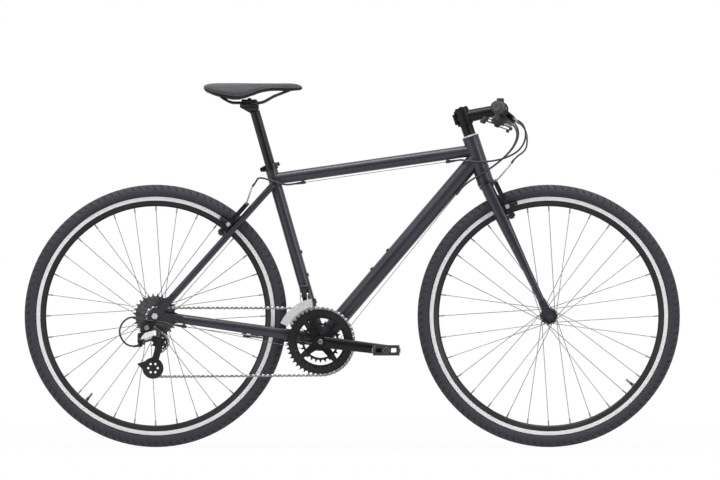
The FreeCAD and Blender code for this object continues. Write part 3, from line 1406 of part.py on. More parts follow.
def rd_bored(root_point, edge):
    """A link with the holes for its two pins and a hollow between them."""
    body = rd_link(root_point, edge)
    reach = rd_axis * (link_half + 1)
    holes = [rod(spot - reach, spot + reach, s.pivot_dia / 2 + s.slide_gap)
             for spot in (root_point, root_point + rd_reach)]
    return body.cut(holes)


def swept_room(about):
    """The room that both links need as they swing, seen from the knuckle at their roots or at their tips."""
    room = []
    for root_point, edge in LINK_LIST:
        centre = root_point if about == "root" else root_point + rd_reach
        for step in range(6):
            copy = rd_link(root_point, edge, s.run_gap)
            copy.rotate(centre, rd_axis, rd_swing * step / 5)
            room.append(copy)
    return room


def pivot_tabs(first, second, away):
    """Two tabs above and below the links, the web that joins them, and the two pins."""
    pieces = []
    near = link_half + s.run_gap
    for low in (near, -near - 3.5):
        pieces.append(link_plate(first + rd_axis * low, second + rd_axis * low, 6.5, 6, rd_axis * 3.5))
    span = rd_axis * -(near + 3.5)
    pieces.append(link_plate(first + away * 9.5 + span, second + away * 9.5 + span, 3.5, 3.5, span * -2))
    bridge = link_plate(first + away * 4 + span, first + away * 9.5 + span, 4, 3.5, rd_axis * 3.5)
    pieces += [bridge, bridge.translated(rd_axis * (2 * near + 3.5))]
    return pieces


def pivot_pins(first, second):
    """The pins of a knuckle's two pivots."""
    reach = rd_axis * (link_half + s.run_gap + 3.5)
    return [rod(spot - reach, spot + reach, s.pivot_dia / 2) for spot in (first, second)]


def rear_derailleur_body():
    """The upper knuckle on the hanger bolt, its pivot tabs and the cable adjuster."""
    face = hanger_face + RIGHT * 0.05
    knuckle = rod(face, face + RIGHT * 17, 13)
    neck = link_plate(face + RIGHT * 1, V(outer_root.x, face.y - 1, outer_root.z), 12, 8, RIGHT * 16)
    adjuster = rod(adjuster_end, adjuster_end + adjuster_way * 13, 4)
    holder = link_plate(outer_root + V(-4, -2, -2), outer_root + V(-4, -2, -20), 6, 4, LEFT * 7)
    body = knuckle.fuse([neck, holder, adjuster] + pivot_tabs(outer_root, inner_root, AHEAD * -1))
    body = body.cut(swept_room("root"))
    body = max(body.Solids, key=lambda piece: piece.Volume)
    body = body.cut(rod(adjuster_end - adjuster_way, adjuster_end + adjuster_way * 14, s.wire_dia / 2 + 0.4))
    bolt = rod(hanger_face + LEFT * s.dropout_thick, face + RIGHT * 18, s.axle_dia / 2)
    head = rod(face + RIGHT * 17, face + RIGHT * 20, 7)
    return body.fuse([bolt, head] + pivot_pins(outer_root, inner_root)).removeSplitter()


part_feature("rear_derailleur_body", rear_derailleur_body())
part_feature("rd_outer_link", rd_bored(outer_root, OUTER_LINK_EDGE))
part_feature("rd_inner_link", rd_bored(inner_root, INNER_LINK_EDGE))

cage_outer_face = cage_pivot.y - s.cage_room - s.cage_plate
knuckle_face = cage_outer_face - s.run_gap


def rd_knuckle():
    """The lower knuckle: pivot tabs round the links' tips and the spring barrel that carries the cage."""
    start = V(cage_pivot.x, knuckle_face, cage_pivot.z)
    barrel = rod(start, V(cage_pivot.x, outer_tip.y, cage_pivot.z), 12)
    body = barrel.fuse(pivot_tabs(outer_tip, inner_tip, AHEAD))
    body = body.cut(swept_room("tip"))
    body = max(body.Solids, key=lambda piece: piece.Volume)
    body = body.cut(rod(start + LEFT, start + RIGHT * 10.5, 5 + s.slide_gap))
    return body.fuse(pivot_pins(outer_tip, inner_tip)).removeSplitter()


part_feature("rd_knuckle", rd_knuckle())

guide_wheel = [wheel for wheel in loop if wheel.name == "guide"][0]
tension_wheel = [wheel for wheel in loop if wheel.name == "tension"][0]


CAGE_ARM = 9
WINDOW_CIRCLE = 12.5
WINDOW_COUNT = 6


def pulley_windows(centre, radius):
    """Tools for the ring of round windows through a jockey wheel or a cage plate beside it."""
    spots = [polar(centre, WINDOW_CIRCLE, 2 * math.pi * turn / WINDOW_COUNT) for turn in range(WINDOW_COUNT)]
    return [rod(spot + RIGHT * 4, spot + LEFT * 6, radius) for spot in spots]


def rd_cage():
    """Two cage plates, the pulley bolts between them and the stub that turns in the knuckle."""
    guide = guide_wheel.centre
    tension = tension_wheel.centre
    back = unit(tension - guide).cross(LEFT)
    back = back * (-1 if back.x > 0 else 1)
    pieces = []
    for side, edge_guide, edge_tension in ((-1, 13, 28), (1, 11, 19)):
        low = LEFT * (side * s.cage_room) if side > 0 else RIGHT * (s.cage_room + s.cage_plate)
        plate = link_plate(guide + low, tension + low, CAGE_ARM, CAGE_ARM, LEFT * s.cage_plate)
        plate = plate.fuse([rod(guide + low, guide + low + LEFT * s.cage_plate, edge_guide),
                            rod(tension + low, tension + low + LEFT * s.cage_plate, edge_tension)])
        if side < 0:
            tab = [tension + low + back * 20 + UP * 14, tension + low + back * 44,
                   tension + low + back * 16 + UP * -20]
            plate = plate.fuse(slab(tab, LEFT * s.cage_plate))
            pivot = V(cage_pivot.x, guide.y, cage_pivot.z) + low
            plate = plate.fuse(link_plate(guide + low, pivot, 13, 11, LEFT * s.cage_plate))
        pieces.append(plate.cut(pulley_windows(tension + low, 3.3)))
    for spot in (guide, tension):
        out = s.cage_room + s.cage_plate
        pieces.append(rod(spot + RIGHT * out, spot + LEFT * (out + 1.5), 2.5))
    stub_start = V(cage_pivot.x, cage_outer_face, cage_pivot.z)
    pieces.append(rod(stub_start + LEFT * 0.5, stub_start + RIGHT * 10, 5))
    cage = pieces[0].fuse(pieces[1:])
    return cage.removeSplitter()


part_feature("rd_cage", rd_cage())


def pulley(wheel):
    """A jockey wheel with its bearing hub and round windows."""
    ring = toothed(s.pulley_teeth, 2.5 + s.slide_gap, s.tooth_thick, wheel.phase)
    hub_piece = Part.makeCylinder(7, 2 * (s.cage_room - s.run_gap), RIGHT * (s.cage_room - s.run_gap), LEFT)
    hub_piece = hub_piece.cut(Part.makeCylinder(2.5 + s.slide_gap, 20, RIGHT * 10, LEFT))
    wheel_blank = ring.cut(pulley_windows(V(), 3)).fuse(hub_piece)
    return at_point(wheel_blank.removeSplitter(), wheel.centre)


part_feature("guide_pulley", pulley(guide_wheel))
part_feature("tension_pulley", pulley(tension_wheel))


# Front derailleur: a clamp on the seat tube and a swinging link that shifts the cage across the rings

fd_middle = on_seat(s.fd_on_seat).x - 14
fd_lean = math.asin(s.fd_travel / 2 / s.fd_link)
fd_swing = 2 * math.degrees(fd_lean)
fd_cage_pivot = V(fd_middle, -(s.ring_line - 10), bb.z + 123.5)
fd_body_pivot = fd_cage_pivot + V(0, s.fd_link * math.sin(fd_lean), s.fd_link * math.cos(fd_lean))
FD_LINK_HALF = 7.0
FD_EDGE = 5.0


def fd_link_shape(extra):
    """The front derailleur's link, or the room round it."""
    low = AHEAD * -(FD_LINK_HALF + extra)
    return link_plate(fd_body_pivot + low, fd_cage_pivot + low, FD_EDGE + extra, FD_EDGE + extra,
                      AHEAD * (2 * (FD_LINK_HALF + extra)))


def fd_room(centre):
    """The room that the link needs as it swings about one of its ends."""
    room = []
    for step in range(5):
        copy = fd_link_shape(s.run_gap)
        copy.rotate(centre, AHEAD, fd_swing * step / 4)
        room.append(copy)
    return room


def front_derailleur_body():
    """The clamp band, the neck beside the seat tube and the fork that holds the link."""
    band = rod(on_seat(s.fd_on_seat - 7), on_seat(s.fd_on_seat + 7), s.seat_tube_dia / 2 + 3.5)
    cheek = FD_LINK_HALF + s.run_gap + 3.2
    side = -s.seat_tube_dia / 2
    neck = box_between(V(fd_middle - 3, side - 5, on_seat(s.fd_on_seat).z - 5),
                       V(fd_middle + 12, side + 6, fd_body_pivot.z))
    block = box_between(V(fd_middle - cheek, fd_body_pivot.y, fd_body_pivot.z - 6.5),
                        V(fd_middle + cheek, side + 6, fd_body_pivot.z + 6.5))
    ends = rod(fd_body_pivot - AHEAD * cheek, fd_body_pivot + AHEAD * cheek, 6.5)
    body = band.fuse([neck, block, ends]).cut(fd_room(fd_body_pivot) + [seat_wall])
    body = max(body.Solids, key=lambda piece: piece.Volume)
    pin = rod(fd_body_pivot - AHEAD * cheek, fd_body_pivot + AHEAD * cheek, s.pivot_dia / 2)
    return body.fuse(pin).removeSplitter()


part_feature("front_derailleur_body", front_derailleur_body())


def fd_link():
    """The link with a hole for each of its pins."""
    reach = AHEAD * (FD_LINK_HALF + 1)
    holes = [rod(spot - reach, spot + reach, s.pivot_dia / 2 + s.slide_gap)
             for spot in (fd_body_pivot, fd_cage_pivot)]
    return fd_link_shape(0).cut(holes)


part_feature("fd_link", fd_link())


def arc_band(side, inner, outer, first, last, thickness):
    """A curved plate about the crank axis between two radii and two angles in degrees."""
    centre = bb + RIGHT * side
    begin, finish = math.radians(first), math.radians(last)
    middle = (begin + finish) / 2
    corners = [polar(centre, inner, begin), polar(centre, inner, finish),
               polar(centre, outer, finish), polar(centre, outer, begin)]
    edges = [
        Part.Arc(corners[0], polar(centre, inner, middle), corners[1]).toShape(),
        Part.LineSegment(corners[1], corners[2]).toShape(),
        Part.Arc(corners[2], polar(centre, outer, middle), corners[3]).toShape(),
        Part.LineSegment(corners[3], corners[0]).toShape(),
    ]
    return Part.Face(Part.Wire(edges)).extrude(LEFT * thickness)


FD_PLATE = 1.5


def fd_cage():
    """The outer and inner cage plates, the bridges at their nose and tail, and the pivot tabs above."""
    outer_side = s.ring_line + 7.5
    inner_side = s.ring_line - 5.7
    top = 117.0
    outer_plate = arc_band(outer_side, 95.5, top, 102, 155, FD_PLATE)
    inner_plate = arc_band(inner_side, 81.5, top, 102, 150, FD_PLATE)
    width = outer_side - inner_side + FD_PLATE
    nose = arc_band(outer_side, top - 1.5, top, 104, 119, width)
    tail = arc_band(outer_side, top - 6, top, 146, 150, width)
    cheek = FD_LINK_HALF + s.run_gap
    tabs = []
    for low in (cheek, -cheek - 3.2):
        foot = V(fd_middle + low, -(inner_side - 0.5), fd_cage_pivot.z - 18)
        tabs.append(link_plate(fd_cage_pivot + AHEAD * low, foot, 5.5, 3, AHEAD * 3.2))
    pin = rod(fd_cage_pivot - AHEAD * (cheek + 3.2), fd_cage_pivot + AHEAD * (cheek + 3.2), s.pivot_dia / 2)
    cage = outer_plate.fuse([inner_plate, nose, tail, pin] + tabs)
    room = [shape for shape in fd_room(fd_cage_pivot)]
    cage = cage.cut([shape.cut(pin) for shape in room])
    cage = max(cage.Solids, key=lambda piece: piece.Volume)
    return cage.removeSplitter()


part_feature("fd_cage", fd_cage())


# Linear-pull brakes

arm_low = s.run_gap
pad_radius = s.rim_radius - s.brake_track / 2


def brake_arm(pivot, up, way, seat_reach, axle_point):
    """A left brake arm: the tapered arm on its stud, the pad on its post and the hole for the wire."""
    start = pivot + way * (seat_reach + arm_low)
    thick = way * (s.arm_thick - arm_low)
    waist = start + up * (s.arm_length * 0.45) + LEFT * 2
    top = start + up * s.arm_length + RIGHT * 2
    arm = link_plate(start, waist, 10, 7.5, thick).fuse(link_plate(waist, top, 7.5, 6, thick))
    bore = rod(start - way * 5, start + way * 20, s.brake_stud_dia / 2 + s.slide_gap)
    centre = pivot + way * (seat_reach + s.arm_thick / 2)
    forward = centre.sub(axle_point).dot(way)
    climb = math.sqrt(pad_radius ** 2 - forward ** 2) - centre.sub(axle_point).dot(up)
    spot = centre + up * climb
    spot.y = 0
    radial = unit(spot - axle_point)
    tangent = unit(way - radial * way.dot(radial))
    face = s.rim_width / 2 + s.pad_gap
    pad = box_between(V(-s.pad_length / 2, face, -4.8), V(s.pad_length / 2, face + 9, 4.8))
    pad = rounded(pad, 1.5)
    pad.Placement = FreeCAD.Placement(spot + tangent * 3, FreeCAD.Rotation(tangent, LEFT, radial, "XYZ"))
    post = rod(spot + LEFT * (face + 8), spot + LEFT * (pivot.y + 12), 3.5)
    dome = rod(spot + LEFT * (pivot.y - 13), spot + LEFT * (pivot.y - 9.5), 6)
    nut = rod(spot + LEFT * (pivot.y + 7), spot + LEFT * (pivot.y + 11), 5)
    anchor = top + thick * 0.5
    wire_hole = rod(anchor + RIGHT * 30, anchor + LEFT * 30, 2.6)
    arm = arm.fuse([post, pad, dome, nut]).cut([bore, wire_hole])
    return arm.removeSplitter(), anchor


front_arm, front_anchor = brake_arm(front_pivot, blade_way, blade_front, front_seat, front_axle)
rear_arm, rear_anchor = brake_arm(rear_stud + LEFT * (-2 * rear_stud.y),
                                  unit(V(seatstay_way.x, 0, seatstay_way.z)),
                                  stay_behind, rear_seat, rear_axle)
part_feature("front_left_brake_arm", front_arm)
part_feature("front_right_brake_arm", mirrored(front_arm))
part_feature("rear_left_brake_arm", rear_arm)
part_feature("rear_right_brake_arm", mirrored(rear_arm))


# Bar controls: a bracket with brake lever, thumb lever and release trigger on each side

bar_fore = V(left_bar_way.y, -left_bar_way.x, 0)
lever_down = math.radians(s.lever_angle)
lever_out = bar_fore * math.cos(lever_down) + UP * -math.sin(lever_down)
lever_axis = unit(lever_out.cross(left_bar_way))
lever_axis = lever_axis * (-1 if lever_axis.z < 0 else 1)
clamp_at = on_bar(s.grip_length + s.bracket_in)
pod_clamp_at = on_bar(s.grip_length + s.shifter_in)
pod_up = unit(UP + bar_fore * 0.35)
pod_centre = pod_clamp_at + bar_fore * 2 + UP * -27
POD_HALF = 9.0
PADDLE_LOW = POD_HALF + 0.3
PADDLE_THICK = 3.0
TRIGGER_LOW = PADDLE_LOW + PADDLE_THICK + 0.4
TRIGGER_THICK = 2.5
lever_pivot = clamp_at + lever_out * s.lever_pivot + left_bar_way * -2
adjuster_tip = clamp_at + lever_out * 42 + left_bar_way * -40
gear_outlet = pod_centre + bar_fore * 6 + left_bar_way * -10
gear_exit = gear_outlet + left_bar_way * -18


def by_lever(out, along_bar):
    """A point in the brake lever's plane, measured from the bar under the bracket."""
    return clamp_at + lever_out * out + left_bar_way * along_bar


def in_lever_frame(low, high):
    """A box along the lever's directions: out from the bar, along the bar and square to both."""
    block = box_between(low, high)
    block.Placement = FreeCAD.Placement(clamp_at, FreeCAD.Rotation(lever_out, left_bar_way, V(), "XYZ"))
    return block


def control_bracket():
    """The left bracket: bar clamp, lever fork, cable adjuster, shifter housing and its lever pin."""
    clamp = rod(clamp_at - left_bar_way * 8, clamp_at + left_bar_way * 8, s.bar_end_dia / 2 + 4)
    second = rod(pod_clamp_at - left_bar_way * 8, clamp_at, s.bar_end_dia / 2 + 3.5)
    root_block = in_lever_frame(V(8, -10, -8.5), V(25, 8, 8.5))
    inner_block = in_lever_frame(V(10, -24, -7.5), V(49, -13, 7.5))
    inner_block = rounded(inner_block, 3)
    cheeks = []
    for low in (5.1, -8.5):
        shift = lever_axis * low
        cheeks.append(link_plate(by_lever(16, -2) + shift, lever_pivot + shift, 9, 6.5, lever_axis * 3.4))
    adjuster = rod(by_lever(42, -20), adjuster_tip, 4.5)
    pod = rounded(rod(pod_centre - pod_up * POD_HALF, pod_centre + pod_up * POD_HALF, 19), 3)
    neck = link_plate(pod_clamp_at - left_bar_way * 7, pod_centre - left_bar_way * 7, 13, 8,
                      left_bar_way * 14)
    window = rounded(rod(pod_clamp_at + UP * 8, pod_clamp_at + UP * 27, 10), 3)
    outlet = rod(gear_outlet, gear_exit, 4)
    whole = clamp.fuse([second, root_block, inner_block, adjuster, pod, neck, window, outlet] + cheeks)
    whole = whole.cut([
        rod(on_bar(0), on_bar(s.bar_width / 2), s.bar_end_dia / 2 + s.weld_gap),
        in_lever_frame(V(26, -12.5, -5.1), V(80, 40, 5.1)),
    ])
    whole = max(whole.Solids, key=lambda piece: piece.Volume)
    pin = rod(lever_pivot - lever_axis * 8.5, lever_pivot + lever_axis * 8.5, 2.5)
    post = rod(pod_centre, pod_centre - pod_up * (TRIGGER_LOW + TRIGGER_THICK + 2.5), 3)
    cap_low = TRIGGER_LOW + TRIGGER_THICK + 0.4
    cap = rod(pod_centre - pod_up * cap_low, pod_centre - pod_up * (cap_low + 2.4), 6)
    return whole.fuse([pin, post, cap]).removeSplitter()


bracket = control_bracket()
part_feature("control_brackets", Part.makeCompound([bracket, mirrored(bracket)]))


def brake_lever():
    """The left lever blade, curved from its pivot out along the grip."""
    joints = [(lever_pivot, 6.5), (by_lever(50, 22), 6.5), (by_lever(58, 62), 5.5), (by_lever(55, 106), 6)]
    blade = None
    for (start, edge_start), (end, edge_end) in zip(joints, joints[1:]):
        low = lever_axis * -4.8
        piece = link_plate(start + low, end + low, edge_start, edge_end, lever_axis * 9.6)
        blade = piece if blade is None else blade.fuse(piece)
    blade = blade.removeSplitter()
    return blade.cut(rod(lever_pivot - lever_axis * 9, lever_pivot + lever_axis * 9, 2.5 + s.slide_gap))


def in_pod_plane(way):
    """A direction laid into the plane in which the shifter's levers turn."""
    return unit(way - pod_up * way.dot(pod_up))


def thumb_lever():
    """The left thumb lever with its raised pad."""
    low = pod_up * -(PADDLE_LOW + PADDLE_THICK)
    tip = pod_centre + in_pod_plane(bar_fore * -0.9 + left_bar_way * 0.45) * 42
    plate = link_plate(pod_centre + low, tip + low, 9, 6, pod_up * PADDLE_THICK)
    pad = rounded(rod(tip + low + pod_up * PADDLE_THICK, tip + low - pod_up * 7, 8), 2)
    return plate.fuse(pad).cut(rod(pod_centre, pod_centre - pod_up * 40, 3 + s.slide_gap))


def release_trigger():
    """The left release trigger, which points forward."""
    low = pod_up * -(TRIGGER_LOW + TRIGGER_THICK)
    tip = pod_centre + in_pod_plane(bar_fore * 0.97 + left_bar_way * 0.2) * 34
    plate = link_plate(pod_centre + low, tip + low, 8, 4.5, pod_up * TRIGGER_THICK)
    pad = rod(tip + low, tip + low - pod_up * 6, 4.5)
    return plate.fuse(pad).cut(rod(pod_centre, pod_centre - pod_up * 40, 3 + s.slide_gap))


for label, shape in (("brake_lever", brake_lever()), ("shift_lever", thumb_lever()),
                     ("release_trigger", release_trigger())):
    part_feature("left_" + label, shape)
    part_feature("right_" + label, mirrored(shape))


# Seatpost with its saddle clamp, the rails and the padded saddle

rail_level = s.saddle_height - 51.5
clamp_centre = V(on_seat(s.seatpost_head).x - 13, 0, rail_level)
RAIL_SIDE = 22


def saddle_rail():
    """The left rail: level through the clamp, rising to the nose and to the tail of the saddle."""
    route_points = [
        clamp_centre + V(-93, 27, 37), clamp_centre + V(-74, 26, 14), clamp_centre + V(-48, RAIL_SIDE, 0),
        clamp_centre + V(34, RAIL_SIDE, 0), clamp_centre + V(66, 17, 18), clamp_centre + V(112, 8, 35.5),
    ]
    return cord(route_points, s.rail_dia / 2, 40)


def seatpost():
    """The post, its cradle under the rails, the upper clamp and the clamp bolt."""
    shaft = rod(on_seat(s.seat_tube_length - 190), on_seat(s.seatpost_head - 5), s.seatpost_dia / 2)
    bore = rod(on_seat(s.seat_tube_length - 200), on_seat(s.seatpost_head - 30), s.seatpost_dia / 2 - 2.4)
    cradle = rod(clamp_centre + V(-25, 0, -RAIL_SIDE * 0.5 - 1),
                 clamp_centre + V(25, 0, -RAIL_SIDE * 0.5 - 1), 15)
    wings = box_between(clamp_centre + V(-22, -RAIL_SIDE - 6, -9), clamp_centre + V(22, RAIL_SIDE + 6, -0.1))
    wings = rounded(wings, 3)
    ceiling = box_between(clamp_centre + V(-60, -60, -0.1), clamp_centre + V(60, 60, 60))
    rails_tool = [rod(clamp_centre + V(-60, side, 0), clamp_centre + V(60, side, 0),
                      s.rail_dia / 2 + s.weld_gap)
                  for side in (-RAIL_SIDE, RAIL_SIDE)]
    head = shaft.cut(bore).fuse([cradle, wings]).cut([ceiling] + rails_tool)
    upper = box_between(clamp_centre + V(-21, -RAIL_SIDE - 6, 0.1), clamp_centre + V(21, RAIL_SIDE + 6, 9))
    upper = rounded(upper, 3).cut(rails_tool)
    bolt = rod(clamp_centre + V(0, 0, 9.05), clamp_centre + V(0, 0, 13), 5)
    return [head.removeSplitter(), upper, bolt]


part_feature("seatpost", Part.makeCompound(seatpost()))
left_rail = saddle_rail()
part_feature("saddle_rails", Part.makeCompound([left_rail, mirrored(left_rail)]))

saddle_tail = clamp_centre.x - 126.6
SADDLE_SECTIONS = (
    # share of the length from the tail, half width as a share of the whole, top and edge below the crown
    (0.008, 0.32, 6, 17), (0.055, 0.44, 1.5, 29), (0.18, 0.5, 0, 41), (0.35, 0.44, 0, 46),
    (0.5, 0.3, 0.5, 32), (0.64, 0.21, 0.5, 21), (0.81, 0.16, 0, 21), (0.93, 0.125, 1.5, 22),
    (0.993, 0.07, 8, 20),
)


def saddle_section(share, half_share, top_drop, edge_drop, thick):
    """A crowned cross-section of the saddle, or of the hollow under it when a thickness is taken off."""
    place = saddle_tail + share * s.saddle_length
    half = half_share * s.saddle_width - thick * 0.55
    top = s.saddle_height - top_drop - thick
    low = s.saddle_height - edge_drop - (0 if thick == 0 else 30)
    shoulder = top - (top - low) * (0.28 if thick == 0 else 0.1)
    points = [V(place, half * 0.97, low), V(place, half * 0.86, shoulder), V(place, -half * 0.86, shoulder),
              V(place, -half * 0.97, low)]
    side_bulge = V(place, half * 1.0, (low + shoulder) / 2)
    edges = [
        Part.Arc(points[0], side_bulge, points[1]).toShape(),
        Part.Arc(points[1], V(place, 0, top), points[2]).toShape(),
        Part.Arc(points[2], V(place, -side_bulge.y, side_bulge.z), points[3]).toShape(),
        Part.LineSegment(points[3], points[0]).toShape(),
    ]
    return Part.Wire(edges)


def saddle():
    """A crowned saddle, hollow below, with sockets for the ends of its rails."""
    skin = Part.makeLoft([saddle_section(*section, 0) for section in SADDLE_SECTIONS], True)
    hollow = Part.makeLoft([saddle_section(*section, 15) for section in SADDLE_SECTIONS[1:-1]], True)
    socket = [left_rail, mirrored(left_rail)]
    return skin.cut(hollow).cut(socket)


part_feature("saddle", saddle())


# Cables: housings along their routes, bent noodles at the brakes and bare wires between the stops

housing_radius = s.housing_dia / 2
wire_radius = s.wire_dia / 2
NOODLE_RADIUS = 2.3
inboard = left_bar_way * -1


def right_of(point):
    """The same point on the drive side."""
    return V(point.x, -abs(point.y), point.z)


def noodle(anchor, start):
    """A bent guide tube that turns a housing into a brake arm's wire, on the drive side."""
    mouth = V(anchor.x, -(abs(anchor.y) + 9.5), anchor.z)
    turn = mouth + RIGHT * 20
    return cord([start, turn, mouth], NOODLE_RADIUS, 18)


def brake_wire(anchor):
    """The wire across the tyre between two arms, with its rubber boot."""
    left_end = V(anchor.x, abs(anchor.y) + 8, anchor.z)
    right_end = V(anchor.x, -(abs(anchor.y) + 9.4), anchor.z)
    boot_wide = V(anchor.x, -abs(anchor.y) + 13, anchor.z)
    boot_thin = V(anchor.x, -abs(anchor.y) + 36, anchor.z)
    return rod(right_end, left_end, wire_radius).fuse(taper(boot_wide, boot_thin, 4.5, 2))


front_bend = V(front_anchor.x + 36, -52, front_anchor.z + 50)
front_cable_route = [
    adjuster_tip + inboard * 0.05, adjuster_tip + inboard * 24, adjuster_tip + V(26, -56, -8),
    adjuster_tip + V(40, -88, -28), adjuster_tip + V(43, -118, -55), adjuster_tip + V(36, -148, -82),
    front_bend + V(8, 6, 14), front_bend,
]
part_feature("front_brake_cable", Part.makeCompound([
    cord(front_cable_route, housing_radius), noodle(front_anchor, front_bend), brake_wire(front_anchor)]))

right_adjuster = right_of(adjuster_tip)
brake_stop_mouth = brake_stops[1] + top_way * 7.05
right_inboard = V(inboard.x, -inboard.y, 0)
rear_brake_route = [
    right_adjuster + right_inboard * 0.05, right_adjuster + right_inboard * 24,
    right_adjuster + V(26, 44, -9), right_adjuster + V(37, 62, -33),
    right_adjuster + V(34, 78, -62), right_adjuster + V(14, 90, -88),
    right_adjuster + V(-26, 95, -106), right_adjuster + V(-72, 97, -113), right_adjuster + V(-116, 100, -111),
    brake_stop_mouth + top_way * 30 + RIGHT * 19, brake_stop_mouth + top_way * 11, brake_stop_mouth,
]


def gear_route(exit_point, stop, side):
    """A gear housing from a shifter down past the head tube to its stop under the down tube."""
    mouth = stop + down_way * 7.05
    ahead = V(inboard.x, inboard.y * side, 0)
    return [
        exit_point + ahead * 0.05, exit_point + ahead * 16, exit_point + V(30, -30 * side, -10),
        exit_point + V(42, -44 * side, -36), exit_point + V(32, -57 * side, -68),
        exit_point + V(4, -67 * side, -101), exit_point + V(-42, -75 * side, -136),
        mouth + down_way * 28, mouth,
    ]


part_feature("control_cables", Part.makeCompound([
    cord(rear_brake_route, housing_radius),
    cord(gear_route(gear_exit, gear_stops[0], 1), housing_radius),
    cord(gear_route(right_of(gear_exit), gear_stops[1], -1), housing_radius),
]))


def frame_cables():
    """The rear brake's wire and housing, both gear wires, and the loop to the rear derailleur."""
    stop_front, stop_rear = brake_stops[1], brake_stops[0]
    pieces = [rod(stop_rear - top_way * 7, stop_front + top_way * 7, wire_radius)]
    rear_bend = V(rear_anchor.x + 22, -44, rear_anchor.z + 44)
    leave = stop_rear - top_way * 7.05
    pieces.append(cord([
        leave, leave - top_way * 16, leave + V(-42, -20, -6), leave + V(-76, -36, 1),
        leave + V(-108, -38, 10), rear_bend + V(16, 6, 10), rear_bend,
    ], housing_radius))
    pieces += [noodle(rear_anchor, rear_bend), brake_wire(rear_anchor)]
    under = guide_low + V(0, 0, -1 - wire_radius - 0.1)
    for stop, side in ((gear_stops[0], 1), (gear_stops[1], -1)):
        start = stop + down_way * 6
        turn = under + V(29, 5 * side, 0)
        if side < 0:
            goal = stay_stop + chainstay_way * 6
            along_stay = stay_stop - chainstay_way * 60
            past_guide = under + V(-18, 5.5 * side, 0)
            pieces.append(cord([start, turn, past_guide, along_stay, goal], wire_radius, 25))
        else:
            anchor = V(fd_middle - FD_LINK_HALF - s.run_gap - 3.2 - wire_radius - 0.4, fd_body_pivot.y + 12,
                       fd_body_pivot.z + 4)
            climb = [under + V(-20, 4, 0), under + V(-37, -3, 26), under + V(-50, -8, 62)]
            pieces.append(cord([start, turn, *climb, anchor], wire_radius, 25))
    exit_point = stay_stop + chainstay_way * 7.05
    hang = hanger_face
    end = adjuster_end - adjuster_way * 0.05
    pieces.append(cord([
        exit_point, exit_point + chainstay_way * 10, exit_point + V(-26, -15.5, 4),
        exit_point + V(-52, -17, 12), hang + V(-2, -4.2, 18.3),
        hang + V(-38, -5, 31), hang + V(-64, -6, 17), hang + V(-75, -7, -10),
        hang + V(-64, -9, -37), end - adjuster_way * 18, end,
    ], housing_radius))
    return pieces


part_feature("frame_cables", Part.makeCompound(frame_cables()))


# Checks, then one file for each sub-part

doc.recompute()
for thing in doc.Objects:
    if "Invalid" in thing.State or "Error" in thing.State:
        raise ValueError("%s did not build: %s" % (thing.Label, thing.State))
for part in nodes:
    if part.Shape.isNull() or not part.Shape.isValid():
        raise ValueError("%s has no valid shape" % part.Label)
os.makedirs("parts", exist_ok=True)
for part in nodes:
    part.Shape.exportStep("parts/%s.step" % part.Label)
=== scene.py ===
import bpy
import json
import math
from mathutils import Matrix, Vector

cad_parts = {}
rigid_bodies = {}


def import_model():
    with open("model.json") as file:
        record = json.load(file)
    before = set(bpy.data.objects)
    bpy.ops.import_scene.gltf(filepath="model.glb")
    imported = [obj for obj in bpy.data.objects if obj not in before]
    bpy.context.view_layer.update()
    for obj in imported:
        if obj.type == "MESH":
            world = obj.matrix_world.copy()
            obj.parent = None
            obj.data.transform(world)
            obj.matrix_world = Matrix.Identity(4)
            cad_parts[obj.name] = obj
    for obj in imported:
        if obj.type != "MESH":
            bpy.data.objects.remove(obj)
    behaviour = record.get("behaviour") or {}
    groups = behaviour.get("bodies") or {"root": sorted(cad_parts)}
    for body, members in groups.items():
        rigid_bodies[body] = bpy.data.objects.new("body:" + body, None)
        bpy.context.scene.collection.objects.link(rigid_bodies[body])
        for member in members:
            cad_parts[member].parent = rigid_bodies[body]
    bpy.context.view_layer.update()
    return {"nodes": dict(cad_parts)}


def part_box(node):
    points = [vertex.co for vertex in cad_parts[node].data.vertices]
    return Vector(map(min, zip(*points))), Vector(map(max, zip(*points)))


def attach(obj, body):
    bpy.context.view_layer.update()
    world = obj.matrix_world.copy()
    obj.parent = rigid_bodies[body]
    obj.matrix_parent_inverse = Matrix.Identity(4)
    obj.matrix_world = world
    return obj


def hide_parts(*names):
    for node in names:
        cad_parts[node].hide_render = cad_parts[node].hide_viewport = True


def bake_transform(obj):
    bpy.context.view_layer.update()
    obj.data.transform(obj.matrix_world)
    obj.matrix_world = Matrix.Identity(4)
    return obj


# Hybrid bike, seen square on from its drive side. Metres, X forward, Y to the rider's left, Z up.
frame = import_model()
nodes = frame["nodes"]
scene = bpy.context.scene

# Places in the CAD model that finishes and fittings are measured from
FRONT_AXLE = Vector((0.5225, 0.0, 0.349))
REAR_AXLE = Vector((-0.5225, 0.0, 0.349))
CRANK_AXLE = Vector((-0.084066, 0.0, 0.2815))
HANGER_BOLT = Vector((-0.543, 0.0, 0.319))
STEERER_UP = (-0.3173, 0.0, 0.9483)
UPPER_RACE = 0.6839

# Meshes: points that are merged, and the angles between faces that stay smooth
MERGE_GAP = 0.00002
TURNED_ANGLE = math.radians(40)
SMOOTH_ANGLE = math.radians(30)


# Small helpers for modelling by hand

def only(obj):
    """Selects one object and makes it the active one."""
    bpy.ops.object.select_all(action="DESELECT")
    obj.select_set(True)
    bpy.context.view_layer.objects.active = obj


def keep_place(obj):
    """Puts the object's place, turn and scale into its mesh."""
    only(obj)
    bpy.ops.object.transform_apply(location=True, rotation=True, scale=True)


